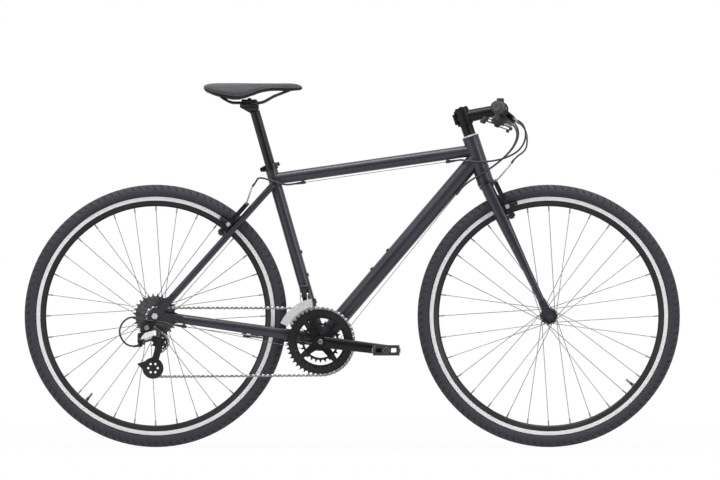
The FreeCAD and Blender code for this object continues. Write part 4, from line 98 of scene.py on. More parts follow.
def select_no_faces():
    """Deselects all of the active piece's mesh, so that faces can be chosen in code."""
    bpy.ops.object.mode_set(mode="EDIT")
    bpy.ops.mesh.select_mode(type="FACE")
    bpy.ops.mesh.select_all(action="DESELECT")
    bpy.ops.object.mode_set(mode="OBJECT")


def edit_all():
    """Enters edit mode with all of the active piece's mesh selected."""
    bpy.ops.object.mode_set(mode="EDIT")
    bpy.ops.mesh.select_all(action="SELECT")


def faces_outward():
    """Turns all faces of the mesh being edited outward and goes back to object mode."""
    bpy.ops.mesh.select_all(action="SELECT")
    bpy.ops.mesh.normals_make_consistent(inside=False)
    bpy.ops.object.mode_set(mode="OBJECT")


def added(operator, name, **settings):
    """A new mesh piece from one of Blender's operators, under its name."""
    bpy.ops.object.select_all(action="DESELECT")
    operator(**settings)
    piece = bpy.context.view_layer.objects.active
    piece.name = name
    return piece


def apply_all(obj):
    """Applies every modifier of an object, from the first to the last."""
    only(obj)
    for modifier in list(obj.modifiers):
        bpy.ops.object.modifier_apply(modifier=modifier.name)


def bevelled(obj, width, segments=2):
    """Rounds the edges of a modelled piece."""
    modifier = obj.modifiers.new("Bevel", "BEVEL")
    modifier.width = width
    modifier.segments = segments
    modifier.limit_method = "ANGLE"
    apply_all(obj)


def turned(name, profile, start, way, sides=24):
    """A turned piece: a disc drawn out through (radius, height) steps, then laid along a way."""
    radius, height = profile[0]
    piece = added(bpy.ops.mesh.primitive_circle_add, name, vertices=sides, radius=radius,
                  fill_type="NGON", location=(0, 0, 0))
    edit_all()
    for next_radius, next_height in profile[1:]:
        rise = (0, 0, next_height - height)
        bpy.ops.mesh.extrude_region_move(TRANSFORM_OT_translate={"value": rise})
        share = next_radius / radius
        bpy.ops.transform.resize(value=(share, share, 1), center_override=(0, 0, next_height))
        radius, height = next_radius, next_height
    faces_outward()
    piece.rotation_euler = Vector(way).to_track_quat("Z", "Y").to_euler()
    piece.location = start
    keep_place(piece)
    bpy.ops.object.shade_smooth_by_angle(angle=TURNED_ANGLE)
    return piece


def copied_node(name, new_name):
    """A copy of a CAD node with its loose triangles merged."""
    piece = nodes[name].copy()
    piece.data = nodes[name].data.copy()
    piece.name = new_name
    piece.parent = None
    scene.collection.objects.link(piece)
    only(piece)
    edit_all()
    bpy.ops.mesh.remove_doubles(threshold=MERGE_GAP)
    faces_outward()
    return piece


def finished(piece, material, body):
    """Gives a piece its material and the body that it rides on."""
    piece.data.materials.clear()
    piece.data.materials.append(material)
    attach(piece, body)
    return piece


# Shader node groups shared by the finishes

BROAD_SHARE = 0.45
GRAIN_SHARE = 0.55
BROAD_EDGES = (0.3, 0.7)


def shader_group(name, inputs, outputs):
    """A new node group with named sockets, and its two end nodes."""
    group = bpy.data.node_groups.new(name, "ShaderNodeTree")
    for label, kind, value in inputs:
        socket = group.interface.new_socket(label, in_out="INPUT", socket_type="NodeSocket" + kind)
        if value is not None:
            socket.default_value = value
    for label, kind in outputs:
        group.interface.new_socket(label, in_out="OUTPUT", socket_type="NodeSocket" + kind)
    return group, group.nodes.new("NodeGroupInput"), group.nodes.new("NodeGroupOutput")


def math_node(tree, operation, first, second=None, clamp=False):
    """A Math node fed by sockets or plain numbers; gives its result socket."""
    node = tree.nodes.new("ShaderNodeMath")
    node.operation = operation
    node.use_clamp = clamp
    for slot, value in enumerate((first, second)):
        if value is None:
            continue
        if isinstance(value, (int, float)):
            node.inputs[slot].default_value = value
        else:
            tree.links.new(value, node.inputs[slot])
    return node.outputs[0]


def ramp(tree, value, low, high):
    """0 below low, 1 above high and smooth between them."""
    node = tree.nodes.new("ShaderNodeMapRange")
    node.interpolation_type = "SMOOTHSTEP"
    node.inputs["From Min"].default_value = low
    node.inputs["From Max"].default_value = high
    tree.links.new(value, node.inputs["Value"])
    return node.outputs["Result"]


def colour_mix(tree, factor, first, second):
    """A colour between two, which are sockets or plain colours."""
    node = tree.nodes.new("ShaderNodeMix")
    node.data_type = "RGBA"
    tree.links.new(factor, node.inputs["Factor"])
    for label, value in (("A", first), ("B", second)):
        socket = next(s for s in node.inputs if s.name == label and s.type == "RGBA")
        if isinstance(value, tuple):
            socket.default_value = value + (1.0,)
        else:
            tree.links.new(value, socket)
    return next(s for s in node.outputs if s.type == "RGBA")


def number_mix(tree, factor, first, second):
    """A number between two, which are sockets or plain numbers."""
    node = tree.nodes.new("ShaderNodeMix")
    tree.links.new(factor, node.inputs["Factor"])
    for slot, value in ((2, first), (3, second)):
        if isinstance(value, (int, float)):
            node.inputs[slot].default_value = value
        else:
            tree.links.new(value, node.inputs[slot])
    return node.outputs[0]


def build_surface_group():
    """Broad shading and fine grain: a colour, a roughness and a height over the surface."""
    group, way_in, way_out = shader_group("Surface", [
        ("Vector", "Vector", None), ("Grain Scale", "Float", 900.0), ("Broad Scale", "Float", 14.0),
        ("Dark", "Color", (0.02, 0.02, 0.02, 1)), ("Light", "Color", (0.04, 0.04, 0.04, 1)),
        ("Smooth", "Float", 0.35), ("Rough", "Float", 0.5)],
        [("Color", "Color"), ("Roughness", "Float"), ("Height", "Float")])
    grain = group.nodes.new("ShaderNodeTexNoise")
    grain.inputs["Detail"].default_value = 2.0
    broad = group.nodes.new("ShaderNodeTexNoise")
    broad.inputs["Detail"].default_value = 4.0
    for noise, scale in ((grain, "Grain Scale"), (broad, "Broad Scale")):
        group.links.new(way_in.outputs["Vector"], noise.inputs["Vector"])
        group.links.new(way_in.outputs[scale], noise.inputs["Scale"])
    patches = ramp(group, broad.outputs["Fac"], *BROAD_EDGES)
    blend = number_mix(group, patches, 0.0, BROAD_SHARE)
    fine = math_node(group, "MULTIPLY", grain.outputs["Fac"], GRAIN_SHARE)
    tone = math_node(group, "ADD", blend, fine, clamp=True)
    colour = colour_mix(group, tone, way_in.outputs["Dark"], way_in.outputs["Light"])
    group.links.new(colour, way_out.inputs["Color"])
    rough = number_mix(group, tone, way_in.outputs["Smooth"], way_in.outputs["Rough"])
    group.links.new(rough, way_out.inputs["Roughness"])
    group.links.new(grain.outputs["Fac"], way_out.inputs["Height"])
    return group


def build_wheel_group():
    """Radius, angle and distance from the middle plane round an axle that lies along Y."""
    group, way_in, way_out = shader_group(
        "Round Axle", [("Vector", "Vector", None)],
        [("Radius", "Float"), ("Angle", "Float"), ("Side", "Float")])
    split = group.nodes.new("ShaderNodeSeparateXYZ")
    group.links.new(way_in.outputs["Vector"], split.inputs[0])
    x, y, z = split.outputs
    squares = [math_node(group, "MULTIPLY", part, part) for part in (x, z)]
    radius = math_node(group, "SQRT", math_node(group, "ADD", *squares))
    group.links.new(radius, way_out.inputs["Radius"])
    group.links.new(math_node(group, "ARCTAN2", z, x), way_out.inputs["Angle"])
    group.links.new(math_node(group, "ABSOLUTE", y), way_out.inputs["Side"])
    return group


SURFACE = build_surface_group()
ROUND_AXLE = build_wheel_group()


class Finish:
    """One material: the shared surface on object coordinates, feeding a Principled shader."""

    def __init__(self, name, dark, light, smooth, rough, metallic=0.0, grain=900.0, broad=14.0,
                 bump=0.0002, stretch=(1, 1, 1)):
        self.material = bpy.data.materials.new(name)
        self.material.use_nodes = True
        self.tree = self.material.node_tree
        self.shader = self.tree.nodes["Principled BSDF"]
        self.shader.inputs["Metallic"].default_value = metallic
        self.coords = self.tree.nodes.new("ShaderNodeTexCoord").outputs["Object"]
        vector = self.mapped(scale=stretch) if stretch != (1, 1, 1) else self.coords
        self.surface = self.tree.nodes.new("ShaderNodeGroup")
        self.surface.node_tree = SURFACE
        self.tree.links.new(vector, self.surface.inputs["Vector"])
        for label, value in (("Grain Scale", grain), ("Broad Scale", broad), ("Dark", dark + (1,)),
                             ("Light", light + (1,)), ("Smooth", smooth), ("Rough", rough)):
            self.surface.inputs[label].default_value = value
        self.colour = self.surface.outputs["Color"]
        self.roughness = self.surface.outputs["Roughness"]
        self.height = self.surface.outputs["Height"]
        self.bump = bump

    def mapped(self, location=(0, 0, 0), scale=(1, 1, 1)):
        """Object coordinates moved and stretched."""
        node = self.tree.nodes.new("ShaderNodeMapping")
        node.inputs["Location"].default_value = location
        node.inputs["Scale"].default_value = scale
        self.tree.links.new(self.coords, node.inputs["Vector"])
        return node.outputs[0]

    def round_axle(self, axle):
        """The sockets Radius, Angle and Side round an axle."""
        node = self.tree.nodes.new("ShaderNodeGroup")
        node.node_tree = ROUND_AXLE
        self.tree.links.new(self.mapped(location=tuple(-axle)), node.inputs["Vector"])
        return node.outputs

    def painted(self, mask, colour, roughness=None, metallic=None):
        """Another colour, roughness and metallic value where a mask is 1."""
        self.colour = colour_mix(self.tree, mask, self.colour, colour)
        if roughness is not None:
            self.roughness = number_mix(self.tree, mask, self.roughness, roughness)
        if metallic is not None:
            plain = self.shader.inputs["Metallic"].default_value
            blend = number_mix(self.tree, mask, plain, metallic)
            self.tree.links.new(blend, self.shader.inputs["Metallic"])

    def raised(self, height, share):
        """Adds a pattern's height, in shares of the bump's depth."""
        extra = self.times(height, share)
        self.height = math_node(self.tree, "ADD", self.height, extra)

    def times(self, first, second):
        """The product of two sockets or numbers."""
        return math_node(self.tree, "MULTIPLY", first, second)

    def wave(self, value, waves):
        """A sine wave along a value, with so many radians to one of it."""
        return math_node(self.tree, "SINE", self.times(value, waves))

    def between(self, value, edges):
        """0 before the first of two edges, 1 past the second and smooth between them."""
        return ramp(self.tree, value, *edges)

    def node(self, kind, fed=None):
        """A new shader node; object coordinates feed its input of that name or number, if any."""
        node = self.tree.nodes.new("ShaderNode" + kind)
        if fed is not None:
            self.tree.links.new(self.coords, node.inputs[fed])
        return node

    def set(self, label, value):
        """Sets one input of the Principled shader."""
        self.shader.inputs[label].default_value = value

    def done(self):
        """Links the finished colour, roughness and bump to the shader."""
        links = self.tree.links
        links.new(self.colour, self.shader.inputs["Base Color"])
        links.new(self.roughness, self.shader.inputs["Roughness"])
        node = self.tree.nodes.new("ShaderNodeBump")
        node.inputs["Distance"].default_value = self.bump
        links.new(self.height, node.inputs["Height"])
        links.new(node.outputs[0], self.shader.inputs["Normal"])
        return self.material


def dress(material, *names):
    """Gives CAD nodes a finish."""
    for name in names:
        for slot in nodes[name].material_slots:
            slot.material = material


# Finishes

SILVER = (0.50, 0.50, 0.51)

frame_paint = Finish(
    "satin_charcoal_paint", (0.019, 0.0168, 0.026), (0.032, 0.0285, 0.043),
    smooth=0.30, rough=0.42, metallic=0.2, grain=1400.0, broad=9.0, bump=0.00003)
frame_paint.set("Coat Weight", 0.2)
frame_paint.set("Coat Roughness", 0.22)
dress(frame_paint.done(), "head_tube", "top_tube", "down_tube", "seat_tube", "bb_shell",
      "rear_stays", "fork", "braze_ons")

RACE_BLUR = 0.0003
headset_grey = Finish(
    "charcoal_headset", (0.019, 0.0175, 0.024), (0.032, 0.030, 0.040),
    smooth=0.30, rough=0.42, metallic=0.2, grain=1600.0, bump=0.00002)
along_steerer = headset_grey.node("VectorMath", 0)
along_steerer.operation = "DOT_PRODUCT"
along_steerer.inputs[1].default_value = STEERER_UP
upper_race = headset_grey.between(along_steerer.outputs["Value"],
                                  (UPPER_RACE - RACE_BLUR, UPPER_RACE + RACE_BLUR))
headset_grey.painted(upper_race, (0.46, 0.46, 0.47), roughness=0.35, metallic=0.4)
dress(headset_grey.done(), "headset_cups")

BLACK_ALLOY = Finish(
    "black_anodised_alloy", (0.006, 0.006, 0.007), (0.014, 0.014, 0.015),
    smooth=0.20, rough=0.34, metallic=0.3, grain=1500.0, broad=20.0, bump=0.00003,
    stretch=(1, 0.2, 1)).done()
dress(BLACK_ALLOY, "handlebar", "seatpost", "seat_collar", "front_hub", "rear_hub",
      "rd_inner_link", "fd_link", "front_derailleur_body", "left_brake_lever",
      "right_brake_lever", "saddle_rails")

HANGER_BOLT_EDGE = (0.0066, 0.0062)
HANGER_BOLT_FACE = (0.0880, 0.0884)
gear_black = Finish(
    "gear_changer_black", (0.010, 0.010, 0.011), (0.030, 0.030, 0.031),
    smooth=0.22, rough=0.40, metallic=0.3, grain=1300.0, broad=40.0, bump=0.00003)
place = gear_black.round_axle(HANGER_BOLT)
bolt_head = gear_black.times(gear_black.between(place["Radius"], HANGER_BOLT_EDGE),
                             gear_black.between(place["Side"], HANGER_BOLT_FACE))
gear_black.painted(bolt_head, SILVER, roughness=0.28, metallic=1.0)
dress(gear_black.done(), "rd_knuckle", "rear_derailleur_body", "rd_cage")

MOULDED_BLACK = Finish(
    "moulded_black_plastic", (0.012, 0.012, 0.013), (0.024, 0.024, 0.025),
    smooth=0.45, rough=0.62, grain=2200.0, bump=0.00008).done()
dress(MOULDED_BLACK, "control_brackets", "left_shift_lever", "right_shift_lever",
      "left_release_trigger", "right_release_trigger", "left_pedal", "right_pedal",
      "guide_pulley", "tension_pulley")

crank_black = Finish(
    "black_crank", (0.007, 0.007, 0.008), (0.015, 0.015, 0.016),
    smooth=0.22, rough=0.36, metallic=0.3, grain=1100.0, bump=0.00003)
crank_black.set("Specular IOR Level", 0.25)
dress(crank_black.done(), "crank_arms", "bottom_bracket", "crank_spindle", "stem")

BARE_TEETH = (0.0875, 0.092)
ring_black = Finish(
    "black_chainring", (0.009, 0.009, 0.010), (0.022, 0.022, 0.024),
    smooth=0.3, rough=0.5, metallic=0.4, grain=700.0, bump=0.00004)
bare = ring_black.between(ring_black.round_axle(CRANK_AXLE)["Radius"], BARE_TEETH)
ring_black.painted(bare, (0.10, 0.10, 0.105), roughness=0.38, metallic=0.9)
dress(ring_black.done(), "chainrings")

BRIGHT_STEEL = Finish(
    "bright_steel", (0.20, 0.20, 0.205), (0.36, 0.36, 0.37),
    smooth=0.22, rough=0.38, metallic=1.0, grain=500.0, bump=0.00002).done()
dress(BRIGHT_STEEL, "front_spokes", "rear_spokes", "seat_qr_lever")

AXLE_STEEL = Finish(
    "dark_axle_steel", (0.05, 0.05, 0.052), (0.12, 0.12, 0.125),
    smooth=0.3, rough=0.45, metallic=0.9, grain=600.0, bump=0.00002).done()
dress(AXLE_STEEL, "front_axle")

CHAIN_STEEL = Finish(
    "oiled_chain_steel", (0.22, 0.219, 0.217), (0.46, 0.458, 0.455),
    smooth=0.28, rough=0.48, metallic=1.0, grain=420.0, broad=60.0, bump=0.00005).done()
dress(CHAIN_STEEL, "chain")

cog_steel = Finish(
    "cassette_steel", (0.075, 0.074, 0.078), (0.24, 0.238, 0.246),
    smooth=0.30, rough=0.48, metallic=1.0, grain=600.0, broad=40.0, bump=0.00004)
dress(cog_steel.done(), "cassette")

plated_silver = Finish(
    "plated_gear_silver", (0.70, 0.70, 0.72), (0.78, 0.78, 0.80),
    smooth=0.22, rough=0.30, metallic=0.45, grain=900.0, bump=0.000003, stretch=(0.2, 1, 1))
dress(plated_silver.done(), "fd_cage", "rd_outer_link", "rear_axle")


# Wheels: rims with a machined brake track, tyres with ribbed walls and a cut tread with painted
# shade in its cuts

TRACK_RADIUS = (0.3064, 0.3070)
TRACK_SIDE = (0.0090, 0.0102)
TRACK_GROOVES = 12000.0
LATHE_SCALE = 2600.0
WALL_TOP = (0.338, 0.334)
WALL_RIBS = 2600.0
WALL_HATCH = 420.0
TREAD_BLOCKS = 110.0
TREAD_SWEEP = 260.0
CUT_EDGE = (0.62, 0.86)
SHOULDER_RADIUS = (0.3345, 0.3365)
SHOULDER_SIDE = (0.0025, 0.004)


def rim_finish(name, axle):
    """Black, with a bright and finely grooved brake track on each side."""
    rim = Finish(name, (0.010, 0.010, 0.011), (0.022, 0.022, 0.023),
                 smooth=0.3, rough=0.45, metallic=0.5, bump=0.00003)
    place = rim.round_axle(axle)
    track = rim.times(rim.between(place["Radius"], TRACK_RADIUS),
                      rim.between(place["Side"], TRACK_SIDE))
    lathe_lines = rim.node("TexNoise")
    lathe_lines.noise_dimensions = "1D"
    lathe_lines.inputs["Scale"].default_value = LATHE_SCALE
    rim.tree.links.new(place["Radius"], lathe_lines.inputs["W"])
    machined = colour_mix(rim.tree, lathe_lines.outputs["Fac"],
                          (0.74, 0.74, 0.76), (0.95, 0.95, 0.97))
    rim.painted(track, machined, roughness=0.42, metallic=0.35)
    rim.raised(rim.times(rim.wave(place["Radius"], TRACK_GROOVES), track), share=0.5)
    return rim.done()


def tyre_finish(name, axle):
    """Rubber with ribbed and hatched walls and slanting cuts in the shoulders of its tread, with
    painted shade in the cuts.
    """
    tyre = Finish(name, (0.0165, 0.0148, 0.0225), (0.031, 0.0282, 0.041),
                  smooth=0.58, rough=0.80, grain=1600.0, broad=25.0, bump=0.0004)
    place = tyre.round_axle(axle)
    wall = tyre.between(place["Radius"], WALL_TOP)
    tyre.raised(tyre.times(tyre.wave(place["Radius"], WALL_RIBS), wall), share=0.35)
    tyre.raised(tyre.times(tyre.wave(place["Angle"], WALL_HATCH), wall), share=0.2)
    swept_angle = math_node(tyre.tree, "ADD", tyre.times(place["Angle"], TREAD_BLOCKS),
                            tyre.times(place["Side"], TREAD_SWEEP))
    cuts = tyre.between(math_node(tyre.tree, "SINE", swept_angle), CUT_EDGE)
    shoulder = tyre.times(tyre.between(place["Radius"], SHOULDER_RADIUS),
                          tyre.between(place["Side"], SHOULDER_SIDE))
    sipes_with_painted_shade = tyre.times(cuts, shoulder)
    tyre.raised(sipes_with_painted_shade, share=-4.0)
    # Painted shade: the sunk cuts get a darker rubber colour for the shade that falls in them.
    tyre.painted(sipes_with_painted_shade, (0.0125, 0.0115, 0.0165), roughness=0.85)
    return tyre.done()


for wheel, axle in (("front", FRONT_AXLE), ("rear", REAR_AXLE)):
    dress(rim_finish(wheel + "_black_rim", axle), wheel + "_rim")
    dress(tyre_finish(wheel + "_tyre_rubber", axle), wheel + "_tyre")


# Grips, brake arms, cable housings and the finishes of the small fittings

GRIP_RINGS = 1500.0
grip_rubber = Finish(
    "ribbed_grip_rubber", (0.018, 0.018, 0.019), (0.034, 0.034, 0.035),
    smooth=0.6, rough=0.8, grain=1800.0, bump=0.0006)
split = grip_rubber.node("SeparateXYZ", 0)
grip_rubber.raised(grip_rubber.wave(split.outputs["Y"], GRIP_RINGS), share=0.4)
dress(grip_rubber.done(), "grips")

PAD_BOLTS = {"front": Vector((0.4115, 0.0, 0.6395)), "rear": Vector((-0.3288, 0.0, 0.5923))}
PAD_BOLT_EDGE = (0.0062, 0.0059)
PAD_FACE = (0.0236, 0.0230)
for end, bolt in PAD_BOLTS.items():
    arm_black = Finish(
        end + "_brake_arm_black", (0.008, 0.008, 0.009), (0.018, 0.018, 0.019),
        smooth=0.25, rough=0.4, metallic=0.3, bump=0.00003)
    place = arm_black.round_axle(bolt)
    bolt_head = arm_black.between(place["Radius"], PAD_BOLT_EDGE)
    arm_black.painted(bolt_head, SILVER, roughness=0.3, metallic=1.0)
    rubber = arm_black.between(place["Side"], PAD_FACE)
    arm_black.painted(rubber, (0.020, 0.020, 0.021), roughness=0.85, metallic=0.0)
    dress(arm_black.done(), end + "_left_brake_arm", end + "_right_brake_arm")

housing = Finish(
    "black_cable_housing", (0.008, 0.008, 0.008), (0.016, 0.016, 0.017),
    smooth=0.25, rough=0.4, grain=1500.0, bump=0.00003)
housing.set("Coat Weight", 0.2)
HOUSING_BLACK = housing.done()
dress(HOUSING_BLACK, "front_brake_cable", "frame_cables", "control_cables")

BOOT_RUBBER = Finish(
    "black_boot_rubber", (0.012, 0.012, 0.012), (0.024, 0.024, 0.024),
    smooth=0.6, rough=0.8, grain=1800.0, bump=0.0001).done()

PLUG_PLASTIC = Finish(
    "grey_plug_plastic", (0.045, 0.045, 0.046), (0.080, 0.080, 0.082),
    smooth=0.45, rough=0.6, grain=1900.0, bump=0.00006).done()

PRISM_SCALE = 420.0
reflector_lens = Finish(
    "clear_grey_reflector", (0.30, 0.30, 0.31), (0.46, 0.46, 0.47),
    smooth=0.12, rough=0.24, grain=700.0, bump=0.0003)
prism = reflector_lens.node("TexVoronoi", "Vector")
prism.distance = "CHEBYCHEV"
prism.inputs["Scale"].default_value = PRISM_SCALE
prism.inputs["Randomness"].default_value = 0.0
reflector_lens.raised(prism.outputs["Distance"], share=2.5)
REFLECTOR = reflector_lens.done()


# Saddle: a padded cover over the solid's form, swelled by pressure

COVER_INSET = 0.0015
COVER_SWELL = 0.003
COVER_VOXEL = 0.0035
FOAM_PRESSURE = 4.0
COVER_STIFFNESS = 20.0
SWELL_FRAMES = 20
CREASE_PASSES = 14
EDGE_SLICE = 0.006


def make_saddle_cover():
    """A voxel copy of the saddle's solid, drawn in a little and then swelled like foam."""
    cover = copied_node("saddle", "saddle_cover")
    cover.data.remesh_voxel_size = COVER_VOXEL
    bpy.ops.object.voxel_remesh()
    edit_all()
    bpy.ops.transform.shrink_fatten(value=-COVER_INSET)
    bpy.ops.mesh.vertices_smooth(factor=0.5, repeat=3)
    bpy.ops.object.mode_set(mode="OBJECT")
    swell(cover)
    finish = cover.modifiers.new("Subdivision", "SUBSURF")
    finish.levels = 1
    finish.render_levels = 1
    apply_all(cover)
    bpy.ops.object.shade_smooth()
    return cover


def swell(cover):
    """Inflates the cover as cloth, keeps each point close by and smooths fine creases out."""
    start = [vertex.co.copy() for vertex in cover.data.vertices]
    cloth = cover.modifiers.new("Cloth", "CLOTH")
    cloth.settings.use_pressure = True
    cloth.settings.uniform_pressure_force = FOAM_PRESSURE
    cloth.settings.effector_weights.gravity = 0.0
    cloth.settings.tension_stiffness = COVER_STIFFNESS
    cloth.settings.compression_stiffness = COVER_STIFFNESS
    cloth.point_cache.frame_start = 1
    cloth.point_cache.frame_end = SWELL_FRAMES
    for step in range(1, SWELL_FRAMES + 1):
        scene.frame_set(step)
    only(cover)
    bpy.ops.object.modifier_apply(modifier=cloth.name)
    scene.frame_set(1)
    for vertex, place in zip(cover.data.vertices, start):
        move = vertex.co - place
        if move.length > COVER_SWELL:
            vertex.co = place + move.normalized() * COVER_SWELL
    edit_all()
    bpy.ops.mesh.vertices_smooth(factor=0.5, repeat=CREASE_PASSES)
    bpy.ops.object.mode_set(mode="OBJECT")


def mark_lower_edge(cover):
    """Stores each point's height above the cover's lower edge, slice by slice of its length."""
    lowest = {}
    for vertex in cover.data.vertices:
        slice_number = round(vertex.co.x / EDGE_SLICE)
        lowest[slice_number] = min(lowest.get(slice_number, vertex.co.z), vertex.co.z)
    heights = cover.data.attributes.new("above_edge", "FLOAT", "POINT")
    for vertex in cover.data.vertices:
        share = vertex.co.x / EDGE_SLICE
        left = math.floor(share)
        near = [lowest.get(left, vertex.co.z), lowest.get(left + 1, vertex.co.z)]
        edge = near[0] + (near[1] - near[0]) * (share - left)
        heights.data[vertex.index].value = vertex.co.z - edge


PEBBLE_SCALE = 700.0
MOULDED_EDGE = (0.0074, 0.0066)
SEAM_FOOT = (0.0112, 0.0120)
SEAM_TOP = (0.0138, 0.0130)

leather = Finish(
    "grained_saddle_cover", (0.040, 0.0382, 0.0425), (0.070, 0.0665, 0.0745),
    smooth=0.50, rough=0.66, grain=1200.0, broad=30.0, bump=0.00007)
leather.set("Specular IOR Level", 0.2)
leather.set("Sheen Weight", 0.1)
pebble = leather.node("TexVoronoi", "Vector")
pebble.inputs["Scale"].default_value = PEBBLE_SCALE
leather.raised(pebble.outputs["Distance"], share=1.2)
edge_node = leather.node("Attribute")
edge_node.attribute_name = "above_edge"
above_edge = edge_node.outputs["Fac"]
moulded = leather.between(above_edge, MOULDED_EDGE)
leather.painted(moulded, (0.008, 0.008, 0.009), roughness=0.4)
seam = leather.times(leather.between(above_edge, SEAM_FOOT), leather.between(above_edge, SEAM_TOP))
leather.raised(seam, share=-3.0)
leather.painted(seam, (0.014, 0.0135, 0.0145), roughness=0.6)

saddle_cover = make_saddle_cover()
mark_lower_edge(saddle_cover)
finished(saddle_cover, leather.done(), "seat")
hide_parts("saddle")


# Seatpost: its cradle tapers to the rear like a boat's keel

KEEL_FOOT = Vector((-0.2717, 0.0, 0.8884))
KEEL_TIP = Vector((-0.2985, 0.0, 0.9035))
HEAD_LEVEL = 0.8870
CUT_GAP = 0.00001
POST_ANGLE = math.radians(12)


def make_seatpost():
    """The post with the underside of its cradle cut away on a slant behind the shaft."""
    post = copied_node("seatpost", "tapered_seatpost")
    select_no_faces()
    for face in post.data.polygons:
        heights = [post.data.vertices[index].co.z for index in face.vertices]
        face.select = min(heights) > HEAD_LEVEL
    slant = KEEL_TIP - KEEL_FOOT
    below = Vector((-slant.z, 0, slant.x)).normalized()
    bpy.ops.object.mode_set(mode="EDIT")
    bpy.ops.mesh.bisect(plane_co=KEEL_FOOT, plane_no=below, use_fill=True, clear_outer=True,
                        threshold=CUT_GAP)
    bpy.ops.mesh.select_all(action="SELECT")
    bpy.ops.mesh.remove_doubles(threshold=CUT_GAP)
    faces_outward()
    bpy.ops.object.shade_smooth_by_angle(angle=POST_ANGLE)
    return post


seatpost = finished(make_seatpost(), BLACK_ALLOY, "seat")
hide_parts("seatpost")


# Chain: the links round the derailleur's two wheels move with its cage, the others with the frame

GUIDE_WHEEL = Vector((-0.5086, -0.0620, 0.2800))
TENSION_WHEEL = Vector((-0.5278, -0.0620, 0.2118))
WRAP_REACH = 0.0255


def on_the_cage(point):
    """True for a point within reach of the line between the derailleur's two wheels."""
    line = TENSION_WHEEL - GUIDE_WHEEL
    share = min(max((point - GUIDE_WHEEL).dot(line) / line.length_squared, 0.0), 1.0)
    return (point - GUIDE_WHEEL - line * share).length < WRAP_REACH


def split_chain():
    """The chain in two pieces, parted between links."""
    run = copied_node("chain", "chain_run")
    select_no_faces()
    for face in run.data.polygons:
        face.select = on_the_cage(face.center)
    bpy.ops.object.mode_set(mode="EDIT")
    bpy.ops.mesh.select_linked()
    bpy.ops.mesh.separate(type="SELECTED")
    bpy.ops.object.mode_set(mode="OBJECT")
    wrap = next(piece for piece in bpy.context.selected_objects if piece != run)
    wrap.name = "chain_round_wheels"
    for piece in (run, wrap):
        only(piece)
        bpy.ops.object.shade_smooth_by_angle(angle=SMOOTH_ANGLE)
    return run, wrap


chain_run, chain_wrap = split_chain()
for piece, body in ((chain_run, "frame"), (chain_wrap, "rd_cage")):
    finished(piece, CHAIN_STEEL, body)
    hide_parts("chain")


# Cables: housings from the controls, and the runs held on fork and frame

REAR_BRAKE = [
    (0.4234, -0.1294, 0.8707), (0.4255, -0.1056, 0.8707), (0.4494, -0.0855, 0.8617),
    (0.4604, -0.0675, 0.8377), (0.4574, -0.0515, 0.8087), (0.4374, -0.0395, 0.7827),
    (0.3974, -0.0345, 0.7647), (0.3514, -0.0325, 0.7577), (0.3074, -0.0295, 0.7597),
    (0.2920, -0.0190, 0.7644), (0.2732, 0.0, 0.7617), (0.2623, 0.0, 0.7601),
]
LEFT_GEAR = [
    (0.4007, 0.1114, 0.8707), (0.4021, 0.0955, 0.8707), (0.4307, 0.0814, 0.8607),
    (0.4427, 0.0674, 0.8347), (0.4327, 0.0544, 0.8027), (0.4047, 0.0444, 0.7697),
    (0.3587, 0.0364, 0.7347), (0.3028, 0.0149, 0.7035), (0.2846, 0.0149, 0.6821),
]
RIGHT_GEAR = [(x, -y, z) for x, y, z in LEFT_GEAR]
FRONT_BRAKE = [
    (0.4234, 0.1294, 0.8707), (0.4255, 0.1056, 0.8707), (0.4494, 0.0735, 0.8627),
    (0.4634, 0.0415, 0.8427), (0.4664, 0.0115, 0.8157), (0.4614, -0.0185, 0.7887),
    (0.4305, -0.0460, 0.7684), (0.4220, -0.0520, 0.7540),
]
FRONT_NOODLE = [(0.4220, -0.0520, 0.7540), (0.3800, -0.0682, 0.7054), (0.3800, -0.0482, 0.7054)]
REAR_BRAKE_TAIL = [
    (-0.1376, 0.0, 0.7025), (-0.1535, 0.0, 0.7002), (-0.1796, -0.0200, 0.6965),
    (-0.2136, -0.0360, 0.7085), (-0.2486, -0.0380, 0.7185), (-0.2560, -0.0400, 0.7036),
    (-0.2650, -0.0440, 0.6930),
]
REAR_NOODLE = [(-0.2650, -0.0440, 0.6930), (-0.2813, -0.0661, 0.6456), (-0.2813, -0.0461, 0.6456)]
FRONT_BRAKE_WIRE = [(0.3800, -0.0480, 0.7054), (0.3800, 0.0, 0.7054), (0.3800, 0.0467, 0.7054)]
REAR_BRAKE_WIRE = [(-0.2813, -0.0460, 0.6456), (-0.2813, 0.0, 0.6456), (-0.2813, 0.0446, 0.6456)]
FRONT_BOOT = (0.3800, -0.0257, 0.7054)
REAR_BOOT = (-0.2813, -0.0236, 0.6456)
TOP_TUBE_WIRE = [(-0.1376, 0.0, 0.7025), (0.0623, 0.0, 0.7313), (0.2623, 0.0, 0.7601)]
FRONT_GEAR_WIRE = [
    (0.2839, 0.0149, 0.6813), (-0.0264, 0.0059, 0.2948), (-0.0571, 0.0050, 0.2566),
    (-0.1061, 0.0040, 0.2566), (-0.1231, -0.0030, 0.2826), (-0.1361, -0.0080, 0.3186),
    (-0.1372, -0.0142, 0.3579), (-0.1393, -0.0255, 0.4297),
]
REAR_GEAR_WIRE = [
    (0.2839, -0.0149, 0.6813), (-0.0276, -0.0059, 0.2934), (-0.0571, -0.0050, 0.2566),
    (-0.1041, -0.0055, 0.2566), (-0.1502, -0.0134, 0.2658), (-0.3871, -0.0541, 0.3134),
    (-0.4521, -0.0611, 0.3228),
]
